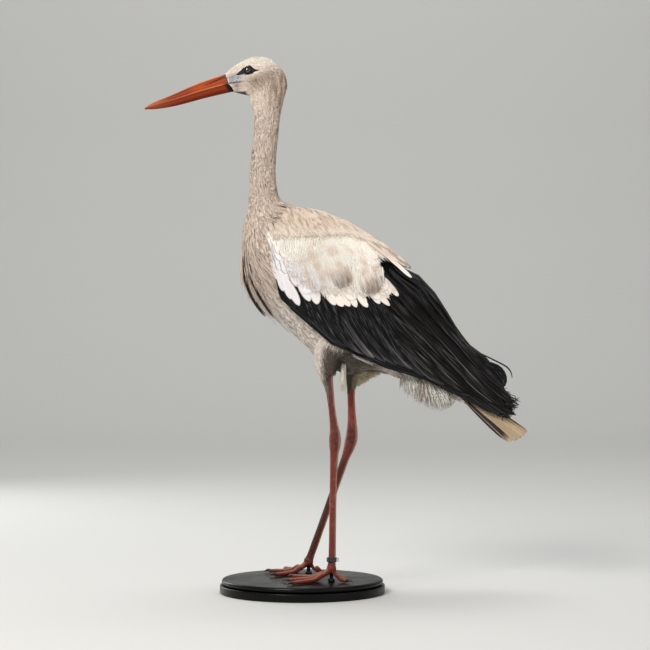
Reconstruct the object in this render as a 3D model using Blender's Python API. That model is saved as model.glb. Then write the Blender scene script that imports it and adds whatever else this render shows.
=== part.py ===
"""A mounted white stork, standing on a round two-tier base, built life-size.

Frame: metres, +Z up. The origin is the centre of the base's underside. The bird faces -X and
its left side is towards -Y. Touching solids keep a gap of GAP.
"""

import math

import bpy
import numpy as np
from mathutils import Vector
from mathutils.bvhtree import BVHTree

GAP = 0.0003
SIDES = (("left", -1), ("right", 1))

# The base: two turned discs.
BASE_HEIGHT = 0.025
LOWER_DISC_RADIUS, LOWER_DISC_HEIGHT, LOWER_DISC_EDGE = 0.1467, 0.0145, 0.0018
UPPER_DISC_RADIUS, UPPER_DISC_UNDERCUT, UPPER_DISC_EDGE = 0.1435, 0.0032, 0.0042
# The upper disc's side leans out over the lowest COVE_HEIGHT, then goes on COVE_LEAN short of
# its full radius up to the rounded edge.
COVE_HEIGHT, COVE_LEAN = 0.0048, 0.0006
DISC_SEGMENTS = 44

# The body as a ladder. Each rung is a flat section that stands between a point on the back
# line and one on the front line: (back x, back z, front x, front z, half width, egg). Egg
# moves the widest place towards the front line (+) or the back line (-).
HEAD_RUNGS = (
    (-0.1380, 0.9225, -0.1255, 0.8915, 0.0110, 0.10),
    (-0.1200, 0.9370, -0.1130, 0.8885, 0.0170, 0.10),
    (-0.1000, 0.9480, -0.1030, 0.8860, 0.0215, 0.05),
    (-0.0800, 0.9530, -0.0955, 0.8835, 0.0240, 0.00),
    (-0.0570, 0.9485, -0.0930, 0.8805, 0.0245, -0.05),
    (-0.0340, 0.9270, -0.0922, 0.8760, 0.0238, -0.05),
    (-0.0272, 0.9020, -0.0918, 0.8680, 0.0228, 0.00),
    (-0.0318, 0.8820, -0.0910, 0.8600, 0.0218, 0.00),
)
NECK_RUNGS = (
    (-0.0380, 0.8550, -0.0885, 0.8470, 0.0208, 0.00),
    (-0.0425, 0.8200, -0.0900, 0.8180, 0.0200, 0.00),
    (-0.0478, 0.7620, -0.0940, 0.7600, 0.0202, 0.00),
    (-0.0455, 0.7230, -0.0940, 0.7150, 0.0235, 0.05),
)
TRUNK_RUNGS = (
    (-0.0350, 0.7005, -0.0985, 0.6780, 0.0310, 0.10),
    (-0.0080, 0.6905, -0.1060, 0.6370, 0.0450, 0.10),
    (0.0330, 0.6795, -0.1045, 0.5880, 0.0590, 0.05),
    (0.0690, 0.6635, -0.0915, 0.5490, 0.0650, 0.05),
    (0.1040, 0.6435, -0.0690, 0.5120, 0.0670, 0.05),
    (0.1390, 0.6200, -0.0370, 0.4800, 0.0660, 0.00),
    (0.1690, 0.5880, -0.0005, 0.4460, 0.0620, 0.00),
    (0.1950, 0.5520, 0.0400, 0.4120, 0.0580, -0.15),
    (0.2210, 0.5090, 0.0880, 0.3980, 0.0500, -0.10),
    (0.2440, 0.4670, 0.1345, 0.3930, 0.0410, 0.00),
    (0.2640, 0.4280, 0.1770, 0.3810, 0.0320, 0.00),
    (0.2815, 0.3960, 0.2307, 0.3630, 0.0230, 0.00),
    (0.2975, 0.3710, 0.2750, 0.3440, 0.0150, 0.00),
)
RUNGS = np.array(HEAD_RUNGS + NECK_RUNGS + TRUNK_RUNGS)
HEAD_END = len(HEAD_RUNGS) - 1
NECK_CUTS = (HEAD_END + 1.6, HEAD_END + 3.2)
TRUNK_START = len(HEAD_RUNGS) + len(NECK_RUNGS)
BODY_SIDES, HEAD_RINGS, NECK_RINGS, TRUNK_RINGS = 18, 11, 5, 16

# The bill: culmen, gape and keel points (x, z) with the half width, from base to tip.
BILL_STATIONS = (
    (-0.1385, 0.9220, -0.1318, 0.9040, -0.1258, 0.8908, 0.0103),
    (-0.1860, 0.9055, -0.1790, 0.8915, -0.1720, 0.8800, 0.0078),
    (-0.2345, 0.8870, -0.2270, 0.8772, -0.2215, 0.8668, 0.0052),
    (-0.2640, 0.8742, -0.2600, 0.8678, -0.2560, 0.8606, 0.0033),
    (-0.2815, 0.8618, -0.2810, 0.8606, -0.2800, 0.8594, 0.0010),
)
BILL_RINGS, BILL_SIDES = 9, 10
# How far the bill's base stands off the face, along the bill.
BILL_STAND_OFF = (-0.00055, 0, -0.00023)

EYE_RADIUS = 0.0075
EYE_X, EYE_Y, EYE_Z = -0.0968, 0.0150, 0.9284
EYE_SIDES, EYE_ROWS = 12, 6

# The folded wing in its own plane: a runs from the wrist to the tip and b across, downwards.
WRIST_X, WRIST_Z, WING_PITCH = -0.0615, 0.6330, math.radians(34.2)
WING_LENGTH = 0.5415
WING_TOP = ((0, 0), (0.024, -0.016), (0.052, -0.033), (0.108, -0.071), (0.165, -0.085),
            (0.231, -0.092), (0.252, -0.0935))
WING_FOOT = ((0, 0), (0.024, 0.026), (0.049, 0.050), (0.080, 0.0805), (0.128, 0.088),
             (0.213, 0.090), (0.248, 0.087), (0.290, 0.075), (0.337, 0.057), (0.376, 0.051),
             (0.435, 0.040), (0.481, 0.038), (0.525, 0.036), (0.5415, 0.016))
COVERT_FOOT = ((0, 0), (0.049, 0.046), (0.080, 0.061), (0.111, 0.066), (0.135, 0.052),
               (0.174, 0.030), (0.205, 0.015), (0.235, -0.012), (0.250, -0.060))
WING_STEPS, COVERT_STEPS, FLIGHT_STEP = 26, 12, 3
TERTIAL_FOOT = ((0.231, -0.060), (0.290, -0.038), (0.350, -0.014), (0.430, 0.000),
                (0.490, 0.008), (0.5415, 0.012))
# The roof that the two folded wings make: ridge line b, widest line b and half width, by a.
WING_RIDGE = ((0, -0.060), (0.024, -0.080), (0.094, -0.096), (0.173, -0.100), (0.232, -0.095),
              (0.282, -0.090), (0.327, -0.0705), (0.374, -0.0470), (0.404, -0.0355),
              (0.430, -0.042), (0.464, -0.044), (0.481, -0.050), (0.497, -0.043),
              (0.505, -0.032), (0.530, -0.009), (0.5415, 0.006))
WING_WAIST = ((0, 0.000), (0.100, 0.010), (0.300, 0.010), (0.450, 0.008), (0.5415, 0.014))
WING_HALF_WIDTH = ((0, 0.0680), (0.060, 0.0800), (0.140, 0.0860), (0.220, 0.0850),
                   (0.300, 0.0740), (0.400, 0.0550), (0.480, 0.0400), (0.5415, 0.0290))
WING_TUCK = math.radians(128)
WING_THICK, WING_EDGE = 0.0060, 0.0012
WING_RIM, WING_POINT, WING_PARTING, COVERT_LIFT = 0.0020, 0.0050, 0.0012, 0.0015
COVERT_COLUMNS, FLIGHT_COLUMNS, TERTIAL_COLUMNS = 6, 6, 5

# The tail: where it leaves the rump, where it ends, and its sizes.
TAIL_ROOT, TAIL_TIP = (0.2900, 0.3610), (0.3985, 0.2850)
TAIL_ROOT_HALF, TAIL_TIP_HALF = 0.0150, 0.0360
TAIL_DROOP, TAIL_THICK = 0.0330, 0.0060
TAIL_ROWS, TAIL_COLUMNS = 7, 11

# The down under the tail: a sausage between two points (x, z), with its swell and its sag.
DOWN_ROOT, DOWN_END, DOWN_RADIUS, DOWN_SAG = (0.176, 0.372), (0.274, 0.352), 0.026, 0.010
DOWN_RINGS, DOWN_SIDES = 7, 12
# The tuft between the thighs: centre points and radii.
TUFT_PATH, TUFT_RADII = (((0.078, 0.0, 0.405), (0.076, 0.0, 0.380), (0.070, 0.0, 0.350)),
                         (0.010, 0.006, 0.002))
# The breast plume's front line as (z, x), its half width, how far its sides rise and draw
# back from its middle, the length of its three locks, and its thickness.
PLUME_LINE = ((0.600, -0.1088), (0.584, -0.1080), (0.573, -0.1068), (0.552, -0.1015),
              (0.535, -0.0950), (0.520, -0.0860), (0.508, -0.0730), (0.497, -0.0600))
PLUME_HALF_WIDTH, PLUME_SIDE_RISE, PLUME_SIDE_BACK, PLUME_LOCK = 0.034, 0.045, 0.030, 0.014
PLUME_EDGE, PLUME_SWELL, PLUME_CLEAR = 0.0010, 0.0055, 0.0016
PLUME_ROWS, PLUME_COLUMNS = 8, 11

# Legs: centre points (x, y, z) and radii, from inside the body down to the foot.
THIGHS = {
    "left": ((0.056, -0.034, 0.432, 0.0290), (0.0500, -0.0400, 0.3935, 0.0235),
             (0.0465, -0.0425, 0.3700, 0.0135), (0.0495, -0.0430, 0.3490, 0.0078)),
    "right": ((0.098, 0.028, 0.422, 0.0270), (0.1020, 0.0390, 0.3940, 0.0265),
              (0.0950, 0.0430, 0.3770, 0.0160), (0.0875, 0.0450, 0.3620, 0.0085)),
}
SHANKS = {
    "left": ((0.0500, -0.0430, 0.3485, 0.0066), (0.0530, -0.0440, 0.3220, 0.0062),
             (0.0562, -0.0450, 0.2960, 0.0078), (0.0578, -0.0455, 0.2790, 0.0104),
             (0.0575, -0.0460, 0.2620, 0.0100), (0.0560, -0.0470, 0.2400, 0.0070),
             (0.0540, -0.0490, 0.1600, 0.0062), (0.0530, -0.0520, 0.0760, 0.0064),
             (0.0515, -0.0530, 0.0480, 0.0070)),
    "right": ((0.0870, 0.0450, 0.3615, 0.0072), (0.0878, 0.0455, 0.3300, 0.0068),
              (0.0890, 0.0460, 0.2990, 0.0085), (0.0885, 0.0465, 0.2740, 0.0112),
              (0.0835, 0.0470, 0.2560, 0.0100), (0.0760, 0.0480, 0.2340, 0.0074),
              (0.0490, 0.0520, 0.1560, 0.0064), (0.0205, 0.0560, 0.0760, 0.0066),
              (0.0105, 0.0570, 0.0490, 0.0072)),
}
HOCK_SPAN = (1.9, 4.7)
THIGH_RINGS, TIBIA_RINGS, HOCK_RINGS, TARSUS_RINGS = 7, 4, 7, 6
THIGH_SIDES, LEG_SIDES = 12, 10
STUB_LENGTH = 0.0165
# The foot's hub as (radius, height above its centre), from its sole up to the tarsus.
HUB_PROFILE = ((0.0025, -0.0085), (0.0062, -0.0068), (0.0082, -0.0030), (0.0086, 0.0010),
               (0.0080, 0.0050), (0.0070, 0.0090))
TOE_RADIUS, TOE_TIP_RADIUS, TOE_BEND = 0.0044, 0.0034, 0.0060
# A toe's radii along its path, as shares of TOE_RADIUS: it narrows between its joints.
TOE_SHARES = (1.0, 0.95, 1.0, 0.82, 0.92, 0.70)
CLAW_LENGTH, CLAW_RADII, CLAW_HEIGHTS = 0.0105, (0.0026, 0.0019, 0.0006), (0.0026, 0.0008)
KNUCKLE = {"inner": 0.40, "middle": 0.40, "outer": 0.40, "hind": 0.56}
TOE_SIDES, CLAW_SIDES, HUB_SIDES = 8, 6, 12
TOE_TIPS = {
    "left": {"inner": (-0.026, 0.006), "middle": (-0.034, -0.056), "outer": (-0.026, -0.108),
             "hind": (0.086, -0.078)},
    "right": {"inner": (-0.058, 0.019), "middle": (-0.072, 0.086), "outer": (-0.036, 0.128),
              "hind": (0.046, 0.067)},
}
ROD_RADIUS, COLLAR_RADIUS, COLLAR_HEIGHT, COLLAR_EDGE = 0.0034, 0.0062, 0.0050, 0.0006
ROD_CLEAR = 0.0015
FOOT_FLOOR = BASE_HEIGHT + GAP

# The marking ring on the left leg, and its small metal plate.
RING_Z, RING_HEIGHT, RING_INNER, RING_OUTER = 0.0640, 0.0075, 0.0072, 0.0094
PLATE_SIZE, PLATE_TURN = (0.0026, 0.0046, 0.0062), math.radians(-25)
RING_SEGMENTS = 20

WHITE = (0.84, 0.79, 0.71)
BEIGE = (0.60, 0.50, 0.41)
BREAST = (0.55, 0.48, 0.41)
BLACK = (0.020, 0.020, 0.022)
BILL_RED = (0.62, 0.12, 0.03)
LEG_RED = (0.34, 0.09, 0.06)


def material(name, colour, roughness, metallic=0.0):
    """The named material, made on its first use."""
    found = bpy.data.materials.get(name)
    if found:
        return found
    made = bpy.data.materials.new(name)
    made.use_nodes = True
    shader = made.node_tree.nodes["Principled BSDF"]
    shader.inputs["Base Color"].default_value = (*colour, 1.0)
    shader.inputs["Roughness"].default_value = roughness
    shader.inputs["Metallic"].default_value = metallic
    return made


def solid(name, points, faces, finish, helper=False):
    """A mesh object from points and faces. A helper is left out of the finished part."""
    mesh = bpy.data.meshes.new(name)
    mesh.from_pydata([tuple(map(float, p)) for p in points], [], faces)
    mesh.materials.append(finish)
    mesh.shade_smooth()
    mesh.set_sharp_from_angle(angle=math.radians(40))
    obj = bpy.data.objects.new(name, mesh)
    bpy.context.scene.collection.objects.link(obj)
    if helper:
        obj.hide_render = True
        obj.display_type = "WIRE"
    return obj


def boolean(obj, operation, other):
    """The other solid joined to this one or cut from it, left as a live modifier."""
    modifier = obj.modifiers.new(operation.lower(), "BOOLEAN")
    modifier.operation = operation
    modifier.object = other


def facing_out(points, faces):
    """The faces, all turned round if the closed surface that they make is inside out."""
    points = np.asarray(points, float)
    volume = 0.0
    for face in faces:
        first = points[face[0]]
        for i in range(1, len(face) - 1):
            volume += np.dot(first, np.cross(points[face[i]], points[face[i + 1]]))
    return faces if volume > 0 else [face[::-1] for face in faces]


def loft(name, rings, finish, helper=False):
    """Rings of equal length joined in order, and closed at both ends by a fan of triangles."""
    rings = np.asarray(rings, float)
    count, around = rings.shape[:2]
    points = [*rings.reshape(-1, 3), rings[0].mean(0), rings[-1].mean(0)]
    faces = []
    for i in range(count - 1):
        for j in range(around):
            k = (j + 1) % around
            faces.append((i * around + j, i * around + k, (i + 1) * around + k, (i + 1) * around + j))
    first, last = count * around, count * around + 1
    for j in range(around):
        k = (j + 1) % around
        faces.append((first, k, j))
        faces.append((last, (count - 1) * around + j, (count - 1) * around + k))
    return solid(name, points, facing_out(points, faces), finish, helper)


def shell(name, outer, inner, finish):
    """Two grids of points of the same size, joined round their rims into one closed slab."""
    rows, columns = outer.shape[:2]
    points = [*outer.reshape(-1, 3), *inner.reshape(-1, 3)]
    back = rows * columns
    faces = []
    for i in range(rows - 1):
        for j in range(columns - 1):
            a, b, c, d = (i * columns + j, i * columns + j + 1,
                          (i + 1) * columns + j + 1, (i + 1) * columns + j)
            faces.append((a, b, c, d))
            faces.append((back + d, back + c, back + b, back + a))
    rim = list(range(columns))
    rim += [i * columns + columns - 1 for i in range(1, rows)]
    rim += [(rows - 1) * columns + j for j in range(columns - 2, -1, -1)]
    rim += [i * columns for i in range(rows - 2, 0, -1)]
    for p, q in zip(rim, rim[1:] + rim[:1]):
        faces.append((q, p, back + p, back + q))
    return solid(name, points, facing_out(points, faces), finish)


def smooth(rows, t):
    """Rows read at the places t (0 is the first row), on a Catmull-Rom curve through them."""
    rows = np.asarray(rows, float)
    padded = np.vstack([2 * rows[0] - rows[1], rows, 2 * rows[-1] - rows[-2]])
    t = np.clip(np.atleast_1d(t), 0, len(rows) - 1)
    i = np.minimum(t.astype(int), len(rows) - 2)
    f = (t - i)[:, None]
    p0, p1, p2, p3 = (padded[i + k] for k in range(4))
    return 0.5 * (2 * p1 + (p2 - p0) * f + (2 * p0 - 5 * p1 + 4 * p2 - p3) * f ** 2
                  + (3 * p1 - p0 - 3 * p2 + p3) * f ** 3)


def along(table, a):
    """A table of (place, value) pairs read at a, by straight lines between its places."""
    places, values = zip(*table)
    return np.interp(a, places, values)


def turned(name, profile, finish, centre=(0.0, 0.0), segments=DISC_SEGMENTS):
    """A profile of (radius, z) pairs, from bottom to top, turned about a vertical axis."""
    angles = np.linspace(0, 2 * math.pi, segments, endpoint=False)
    rings = [[(centre[0] + r * math.cos(u), centre[1] + r * math.sin(u), z) for u in angles]
             for r, z in profile]
    return loft(name, rings, finish)


def arc(centre, radius, start, end, count):
    """Points on an arc, as (radius, z) pairs; angles are in degrees."""
    return [(centre[0] + radius * math.cos(math.radians(u)),
             centre[1] + radius * math.sin(math.radians(u)))
            for u in np.linspace(start, end, count)]


def tube_rings(points, radii, sides):
    """Rings round a path, each square to it, with no twist from one to the next."""
    points = np.asarray(points, float)
    tangents = np.gradient(points, axis=0)
    tangents /= np.linalg.norm(tangents, axis=1)[:, None]
    side = np.cross(tangents[0], (0.0, 1.0, 0.0))
    angles = np.linspace(0, 2 * math.pi, sides, endpoint=False)
    rings = []
    for point, tangent, radius in zip(points, tangents, radii):
        side = side - np.dot(side, tangent) * tangent
        side /= np.linalg.norm(side)
        other = np.cross(tangent, side)
        rings.append(point + radius * (np.cos(angles)[:, None] * side
                                       + np.sin(angles)[:, None] * other))
    return np.array(rings)


def body_rings(places, grow=0.0):
    """Sections of the body ladder at the given places, each made larger all round by grow."""
    angles = np.linspace(0, 2 * math.pi, BODY_SIDES, endpoint=False)
    rings = []
    for back_x, back_z, front_x, front_z, half_width, egg in smooth(RUNGS, places):
        back, front = np.array((back_x, 0, back_z)), np.array((front_x, 0, front_z))
        centre, reach = (back + front) / 2, (back - front) / 2
        length = np.linalg.norm(reach)
        up = reach / length
        width = (half_width + grow) * np.sin(angles) * (1 - egg * np.cos(angles))
        height = (length + grow) * np.cos(angles)
        rings.append(centre + height[:, None] * up + width[:, None] * np.array((0, 1, 0)))
    return np.array(rings)


def ring_normal(ring):
    """The unit normal of a flat ring."""
    normal = np.cross(ring[0] - ring.mean(0), ring[len(ring) // 4] - ring.mean(0))
    return normal / np.linalg.norm(normal)


def body_length(name, start, end, rings_wanted, finish):
    """One length of the body ladder, drawn in at both ends by half a gap."""
    rings = body_rings(np.linspace(start, end, rings_wanted))
    for i, towards in ((0, 1), (-1, -2)):
        normal = ring_normal(rings[i])
        inwards = np.sign(np.dot(rings[towards].mean(0) - rings[i].mean(0), normal))
        rings[i] += normal * inwards * GAP / 2
    return loft(name, rings, finish)


def base():
    """The two discs: a rounded one on the floor and one with a cove under its rim on top."""
    satin = material("base_black", (0.012, 0.012, 0.013), 0.35)
    edge = LOWER_DISC_EDGE
    lower = (arc((LOWER_DISC_RADIUS - edge, edge), edge, -90, 0, 3)
             + arc((LOWER_DISC_RADIUS - edge, LOWER_DISC_HEIGHT - edge), edge, 0, 90, 3))
    turned("base_lower_disc", lower, satin)
    foot_z, edge = LOWER_DISC_HEIGHT + GAP, UPPER_DISC_EDGE
    side = [(UPPER_DISC_RADIUS - UPPER_DISC_UNDERCUT, foot_z),
            (UPPER_DISC_RADIUS - COVE_LEAN, foot_z + COVE_HEIGHT)]
    upper = side + arc((UPPER_DISC_RADIUS - edge, BASE_HEIGHT - edge), edge, 0, 90, 4)
    turned("base_upper_disc", upper, satin)


def head():
    """The head, with a socket cut into each side, and the two eyeballs."""
    body = body_length("head", 0, HEAD_END, HEAD_RINGS, material("head_feathers", WHITE, 0.8))
    eye_finish = material("eye_dark", (0.015, 0.010, 0.008), 0.05)
    for side, sign in SIDES:
        centre = (EYE_X, sign * EYE_Y, EYE_Z)
        socket = ball(f"socket_{side}", centre, EYE_RADIUS + 2 * GAP, eye_finish, helper=True)
        boolean(body, "DIFFERENCE", socket)
        ball(f"eye_{side}", centre, EYE_RADIUS, eye_finish)


def ball(name, centre, radius, finish, helper=False):
    """A sphere as rings from its lowest to its highest point."""
    angles = np.linspace(0, 2 * math.pi, EYE_SIDES, endpoint=False)
    rings = []
    for v in np.linspace(-90, 90, EYE_ROWS + 2)[1:-1]:
        r, z = radius * math.cos(math.radians(v)), radius * math.sin(math.radians(v))
        rings.append([(centre[0] + r * math.cos(u), centre[1] + r * math.sin(u), centre[2] + z)
                      for u in angles])
    return loft(name, rings, finish, helper)


def bill():
    """Each half is a D-shaped section: flat on the gape line and round on its outer side."""
    finish = material("bill_horn", BILL_RED, 0.4)
    stations = smooth(BILL_STATIONS, np.linspace(0, len(BILL_STATIONS) - 1, BILL_RINGS))
    angles = np.linspace(0, math.pi, BILL_SIDES)
    for name, index in (("bill_upper", 0), ("bill_lower", 4)):
        rings = []
        for row in stations:
            gape = np.array((row[2], 0, row[3]))
            outer = np.array((row[index], 0, row[index + 1]))
            axis = (outer - gape) / np.linalg.norm(outer - gape)
            across = row[6] * np.cos(angles)[:, None] * np.array((0, 1, 0))
            away = np.sin(angles)[:, None] * (outer - gape)
            rings.append(gape + across + away + axis * GAP / 2)
        rings[0] += np.array(BILL_STAND_OFF)
        loft(name, rings, finish)


def neck_and_trunk():
    """Three lengths of neck and the trunk. It gives back a cutter that clears the trunk."""
    beige = material("neck_feathers", BEIGE, 0.85)
    start, (upper, middle) = HEAD_END, NECK_CUTS
    body_length("neck_upper", start, upper, NECK_RINGS, beige)
    body_length("neck_middle", upper, middle, NECK_RINGS, beige)
    body_length("neck_lower", middle, TRUNK_START, NECK_RINGS, beige)
    tail_end = len(RUNGS) - 1
    body_length("trunk", TRUNK_START, tail_end, TRUNK_RINGS, material("body_feathers", BREAST, 0.85))
    room = np.r_[TRUNK_START - 0.5, np.linspace(TRUNK_START, tail_end, TRUNK_RINGS)]
    return loft("trunk_room", body_rings(room, 3 * GAP), beige, helper=True)


def wing_point(a, b, sign, inset):
    """A point of the folded wings' roof at (a, b). Inset moves it in from the outer surface."""
    ridge, waist = along(WING_RIDGE, a), along(WING_WAIST, a)
    half_width = along(WING_HALF_WIDTH, a) - inset
    if b <= waist:
        height = max(waist - ridge, 1e-4)
        cosine = min(1.0, (waist - b) / height)
        y = half_width * math.sqrt(1 - cosine ** 2)
        b += inset * cosine
    else:
        depth = max(along(WING_FOOT, a) - waist, 1e-4)
        y = half_width * math.sin(math.pi / 2 + (WING_TUCK - math.pi / 2) * (b - waist) / depth)
    x = WRIST_X + a * math.cos(WING_PITCH) - b * math.sin(WING_PITCH)
    z = WRIST_Z - a * math.sin(WING_PITCH) - b * math.cos(WING_PITCH)
    return x, sign * max(y, WING_PARTING), z


def wing_strip(name, sign, places, top, foot, columns, finish, lift=0.0):
    """A slab of the wing between two lines, thin at its rims. Lift raises its outer side."""
    outer, inner = [], []
    for a in places:
        high, low = top(a), foot(a)
        u = (a - places[0]) / (places[-1] - places[0])
        for v in np.linspace(0, 1, columns):
            b = high + (low - high) * v
            body = max(0.0, math.sin(math.pi * v)) ** 0.5 * max(0.0, math.sin(math.pi * u)) ** 0.4
            thick = WING_EDGE + (WING_THICK - WING_EDGE) * body
            outer.append(wing_point(a, b, sign, -lift * body))
            inner.append(wing_point(a, b, sign, thick))
    shape = (len(places), columns, 3)
    shell(name, np.array(outer).reshape(shape), np.array(inner).reshape(shape), finish)


def flight_top(a):
    """The line under which the black feathers show: below the coverts, then the tertials."""
    covered = a < WING_LENGTH * COVERT_STEPS / WING_STEPS - GAP
    return along(COVERT_FOOT if covered else TERTIAL_FOOT, a)


def wings():
    """Each folded wing in three slabs that part along thin cuts."""
    white, black = material("covert_feathers", WHITE, 0.8), material("flight_feathers", BLACK, 0.55)
    steps = np.linspace(0, WING_LENGTH, WING_STEPS + 1)
    covert_steps, tertial_steps = steps[:COVERT_STEPS + 1].copy(), steps[COVERT_STEPS:].copy()
    covert_steps[0] += WING_POINT
    covert_steps[-1] -= GAP
    tertial_steps[0] += GAP
    for side, sign in SIDES:
        wing_strip(f"wing_{side}_coverts", sign, covert_steps, lambda a: along(WING_TOP, a),
                   lambda a: max(along(COVERT_FOOT, a) - GAP, along(WING_TOP, a) + WING_RIM),
                   COVERT_COLUMNS, white, lift=COVERT_LIFT)
        wing_strip(f"wing_{side}_flight", sign, steps[FLIGHT_STEP:], lambda a: flight_top(a) + GAP,
                   lambda a: max(along(WING_FOOT, a), flight_top(a) + WING_RIM),
                   FLIGHT_COLUMNS, black)
        wing_strip(f"wing_{side}_tertials", sign, tertial_steps, lambda a: along(WING_RIDGE, a),
                   lambda a: max(along(TERTIAL_FOOT, a) - GAP, along(WING_RIDGE, a) + WING_RIM),
                   TERTIAL_COLUMNS, black)


def tail():
    """The closed tail: a roof of feathers, rounded at its end, with its edges lower."""
    root, tip = (np.array((x, 0, z)) for x, z in (TAIL_ROOT, TAIL_TIP))
    length = np.linalg.norm(tip - root)
    axis = (tip - root) / length
    up = np.array((-axis[2], 0, axis[0]))
    outer, inner = [], []
    for v in np.linspace(0, 1, TAIL_ROWS):
        half = TAIL_ROOT_HALF + (TAIL_TIP_HALF - TAIL_ROOT_HALF) * v ** 0.8
        for w in np.linspace(-1, 1, TAIL_COLUMNS):
            reach = length * v * (1 - 0.16 * abs(w) ** 3 * v)
            droop = TAIL_DROOP * abs(w) ** 1.6 * (0.45 + 0.55 * v)
            point = root + axis * reach - up * droop + np.array((0, w * half, 0))
            thick = TAIL_THICK * (1 - 0.55 * abs(w)) * (1 - 0.6 * v)
            outer.append(point + up * thick / 2)
            inner.append(point - up * thick / 2)
    shape = (TAIL_ROWS, TAIL_COLUMNS, 3)
    finish = material("tail_feathers", (0.62, 0.53, 0.40), 0.8)
    shell("tail", np.array(outer).reshape(shape), np.array(inner).reshape(shape), finish)


def soft_feathers(trunk_room):
    """The breast plume, the down under the tail and the tuft between the thighs."""
    white = material("down_feathers", WHITE, 0.9)
    breast_plume(trunk_room)
    places = np.linspace(0, 1, DOWN_RINGS)
    swell = np.sqrt(np.clip(1 - (2 * places - 1) ** 2, 0.04, 1))
    root, end = (np.array((x, 0, z)) for x, z in (DOWN_ROOT, DOWN_END))
    path = root + places[:, None] * (end - root)
    rings = tube_rings(path, DOWN_RADIUS * swell, DOWN_SIDES)
    rings[:, :, 2] -= DOWN_SAG * swell[:, None]
    down = loft("undertail_down", rings, white)
    boolean(down, "DIFFERENCE", trunk_room)
    tuft = loft("belly_tuft", tube_rings(TUFT_PATH, TUFT_RADII, LEG_SIDES), white)
    boolean(tuft, "DIFFERENCE", trunk_room)


def breast_plume(trunk_room):
    """Long hanging feathers of the lower neck: a slab that follows the breast, then hangs."""
    mesh = trunk_room.data
    tree = BVHTree.FromPolygons([v.co for v in mesh.vertices], [p.vertices for p in mesh.polygons])
    heights, fronts = zip(*PLUME_LINE)
    outer, inner = [], []
    for v in np.linspace(0, 1, PLUME_ROWS):
        for w in np.linspace(-1, 1, PLUME_COLUMNS):
            lock = PLUME_LOCK * (0.5 - 0.5 * math.cos(2.5 * math.pi * (w + 1)))
            hem = heights[-1] + PLUME_SIDE_RISE * abs(w) ** 1.5 + lock
            z = heights[0] + (hem - heights[0]) * v
            y = w * PLUME_HALF_WIDTH
            hit = tree.ray_cast(Vector((-0.5, y, z)), Vector((1, 0, 0)))[0]
            skin = hit.x if hit else 0.0
            front = np.interp(-z, [-h for h in heights], fronts) + PLUME_SIDE_BACK * w ** 2
            near = min(skin - PLUME_CLEAR, front + 0.0050)
            thick = PLUME_EDGE + PLUME_SWELL * math.sin(math.pi * (0.15 + 0.85 * v))
            outer.append((min(front, near - thick * (1 - 0.6 * abs(w))), y, z))
            inner.append((near, y, z))
    shape = (PLUME_ROWS, PLUME_COLUMNS, 3)
    finish = material("breast_feathers", BREAST, 0.85)
    shell("breast_plume", np.array(outer).reshape(shape), np.array(inner).reshape(shape), finish)


def legs(trunk_room):
    """Each leg: the feathered thigh, then three lengths of bare shank, then the foot."""
    feather, skin = material("thigh_feathers", WHITE, 0.85), material("leg_skin", LEG_RED, 0.55)
    for side, _ in SIDES:
        rows = smooth(THIGHS[side], np.linspace(0, len(THIGHS[side]) - 1, THIGH_RINGS))
        rings = tube_rings(rows[:, :3], rows[:, 3], THIGH_SIDES)
        rings[-1][:, 2] = rows[-1][2]
        thigh = loft(f"thigh_{side}", rings, feather)
        boolean(thigh, "DIFFERENCE", trunk_room)
        shank(side, SHANKS[side], skin)
        hub = np.array(SHANKS[side][-1][:3])
        foot(side, hub, skin)
        rod(side, hub)


def shank(side, path, skin):
    """The bare leg in three lengths with level ends, down to the top of the foot's hub."""
    hub_top = path[-1][2] + HUB_PROFILE[-1][1] + GAP
    places = np.linspace(0, len(path) - 1, 500)
    stop = np.interp(-hub_top, -smooth(path, places)[:, 2], places)
    hock_start, hock_end = HOCK_SPAN
    for name, start, end, count in (("tibia", 0, hock_start, TIBIA_RINGS),
                                    ("hock", hock_start, hock_end, HOCK_RINGS),
                                    ("tarsus", hock_end, stop, TARSUS_RINGS)):
        rows = smooth(path, np.linspace(start, end, count))
        rings = tube_rings(rows[:, :3], rows[:, 3], LEG_SIDES)
        rings[0][:, 2] = rows[0][2] - GAP / 2
        rings[-1][:, 2] = rows[-1][2] + GAP / 2
        loft(f"{name}_{side}", rings, skin)


def foot(side, hub, skin):
    """The hub with its four stubs as one solid, then the toes and their claws."""
    body = turned(f"foot_{side}", [(r, hub[2] + h) for r, h in HUB_PROFILE], skin,
                  centre=hub[:2], segments=HUB_SIDES)
    for name, tip in TOE_TIPS[side].items():
        flat = np.array(tip) - hub[:2]
        length = np.linalg.norm(flat)
        heading = np.array((*(flat / length), 0.0))
        knuckle = hub + heading * length * KNUCKLE[name]
        knuckle[2] = FOOT_FLOOR + TOE_RADIUS
        slope = (knuckle - hub) / np.linalg.norm(knuckle - hub)
        stub_end = hub + slope * min(STUB_LENGTH, 0.75 * np.linalg.norm(knuckle - hub))
        stub = loft(f"stub_{side}_{name}", tube_rings([hub, stub_end], (TOE_RADIUS,) * 2, TOE_SIDES),
                    skin, helper=True)
        boolean(body, "UNION", stub)
        end = hub + heading * (length - CLAW_LENGTH)
        end[2] = FOOT_FLOOR + TOE_TIP_RADIUS
        toe(f"{side}_{name}", stub_end + slope * GAP, knuckle, end, skin)
        claw(f"{side}_{name}", end + heading * GAP, heading)


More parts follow.
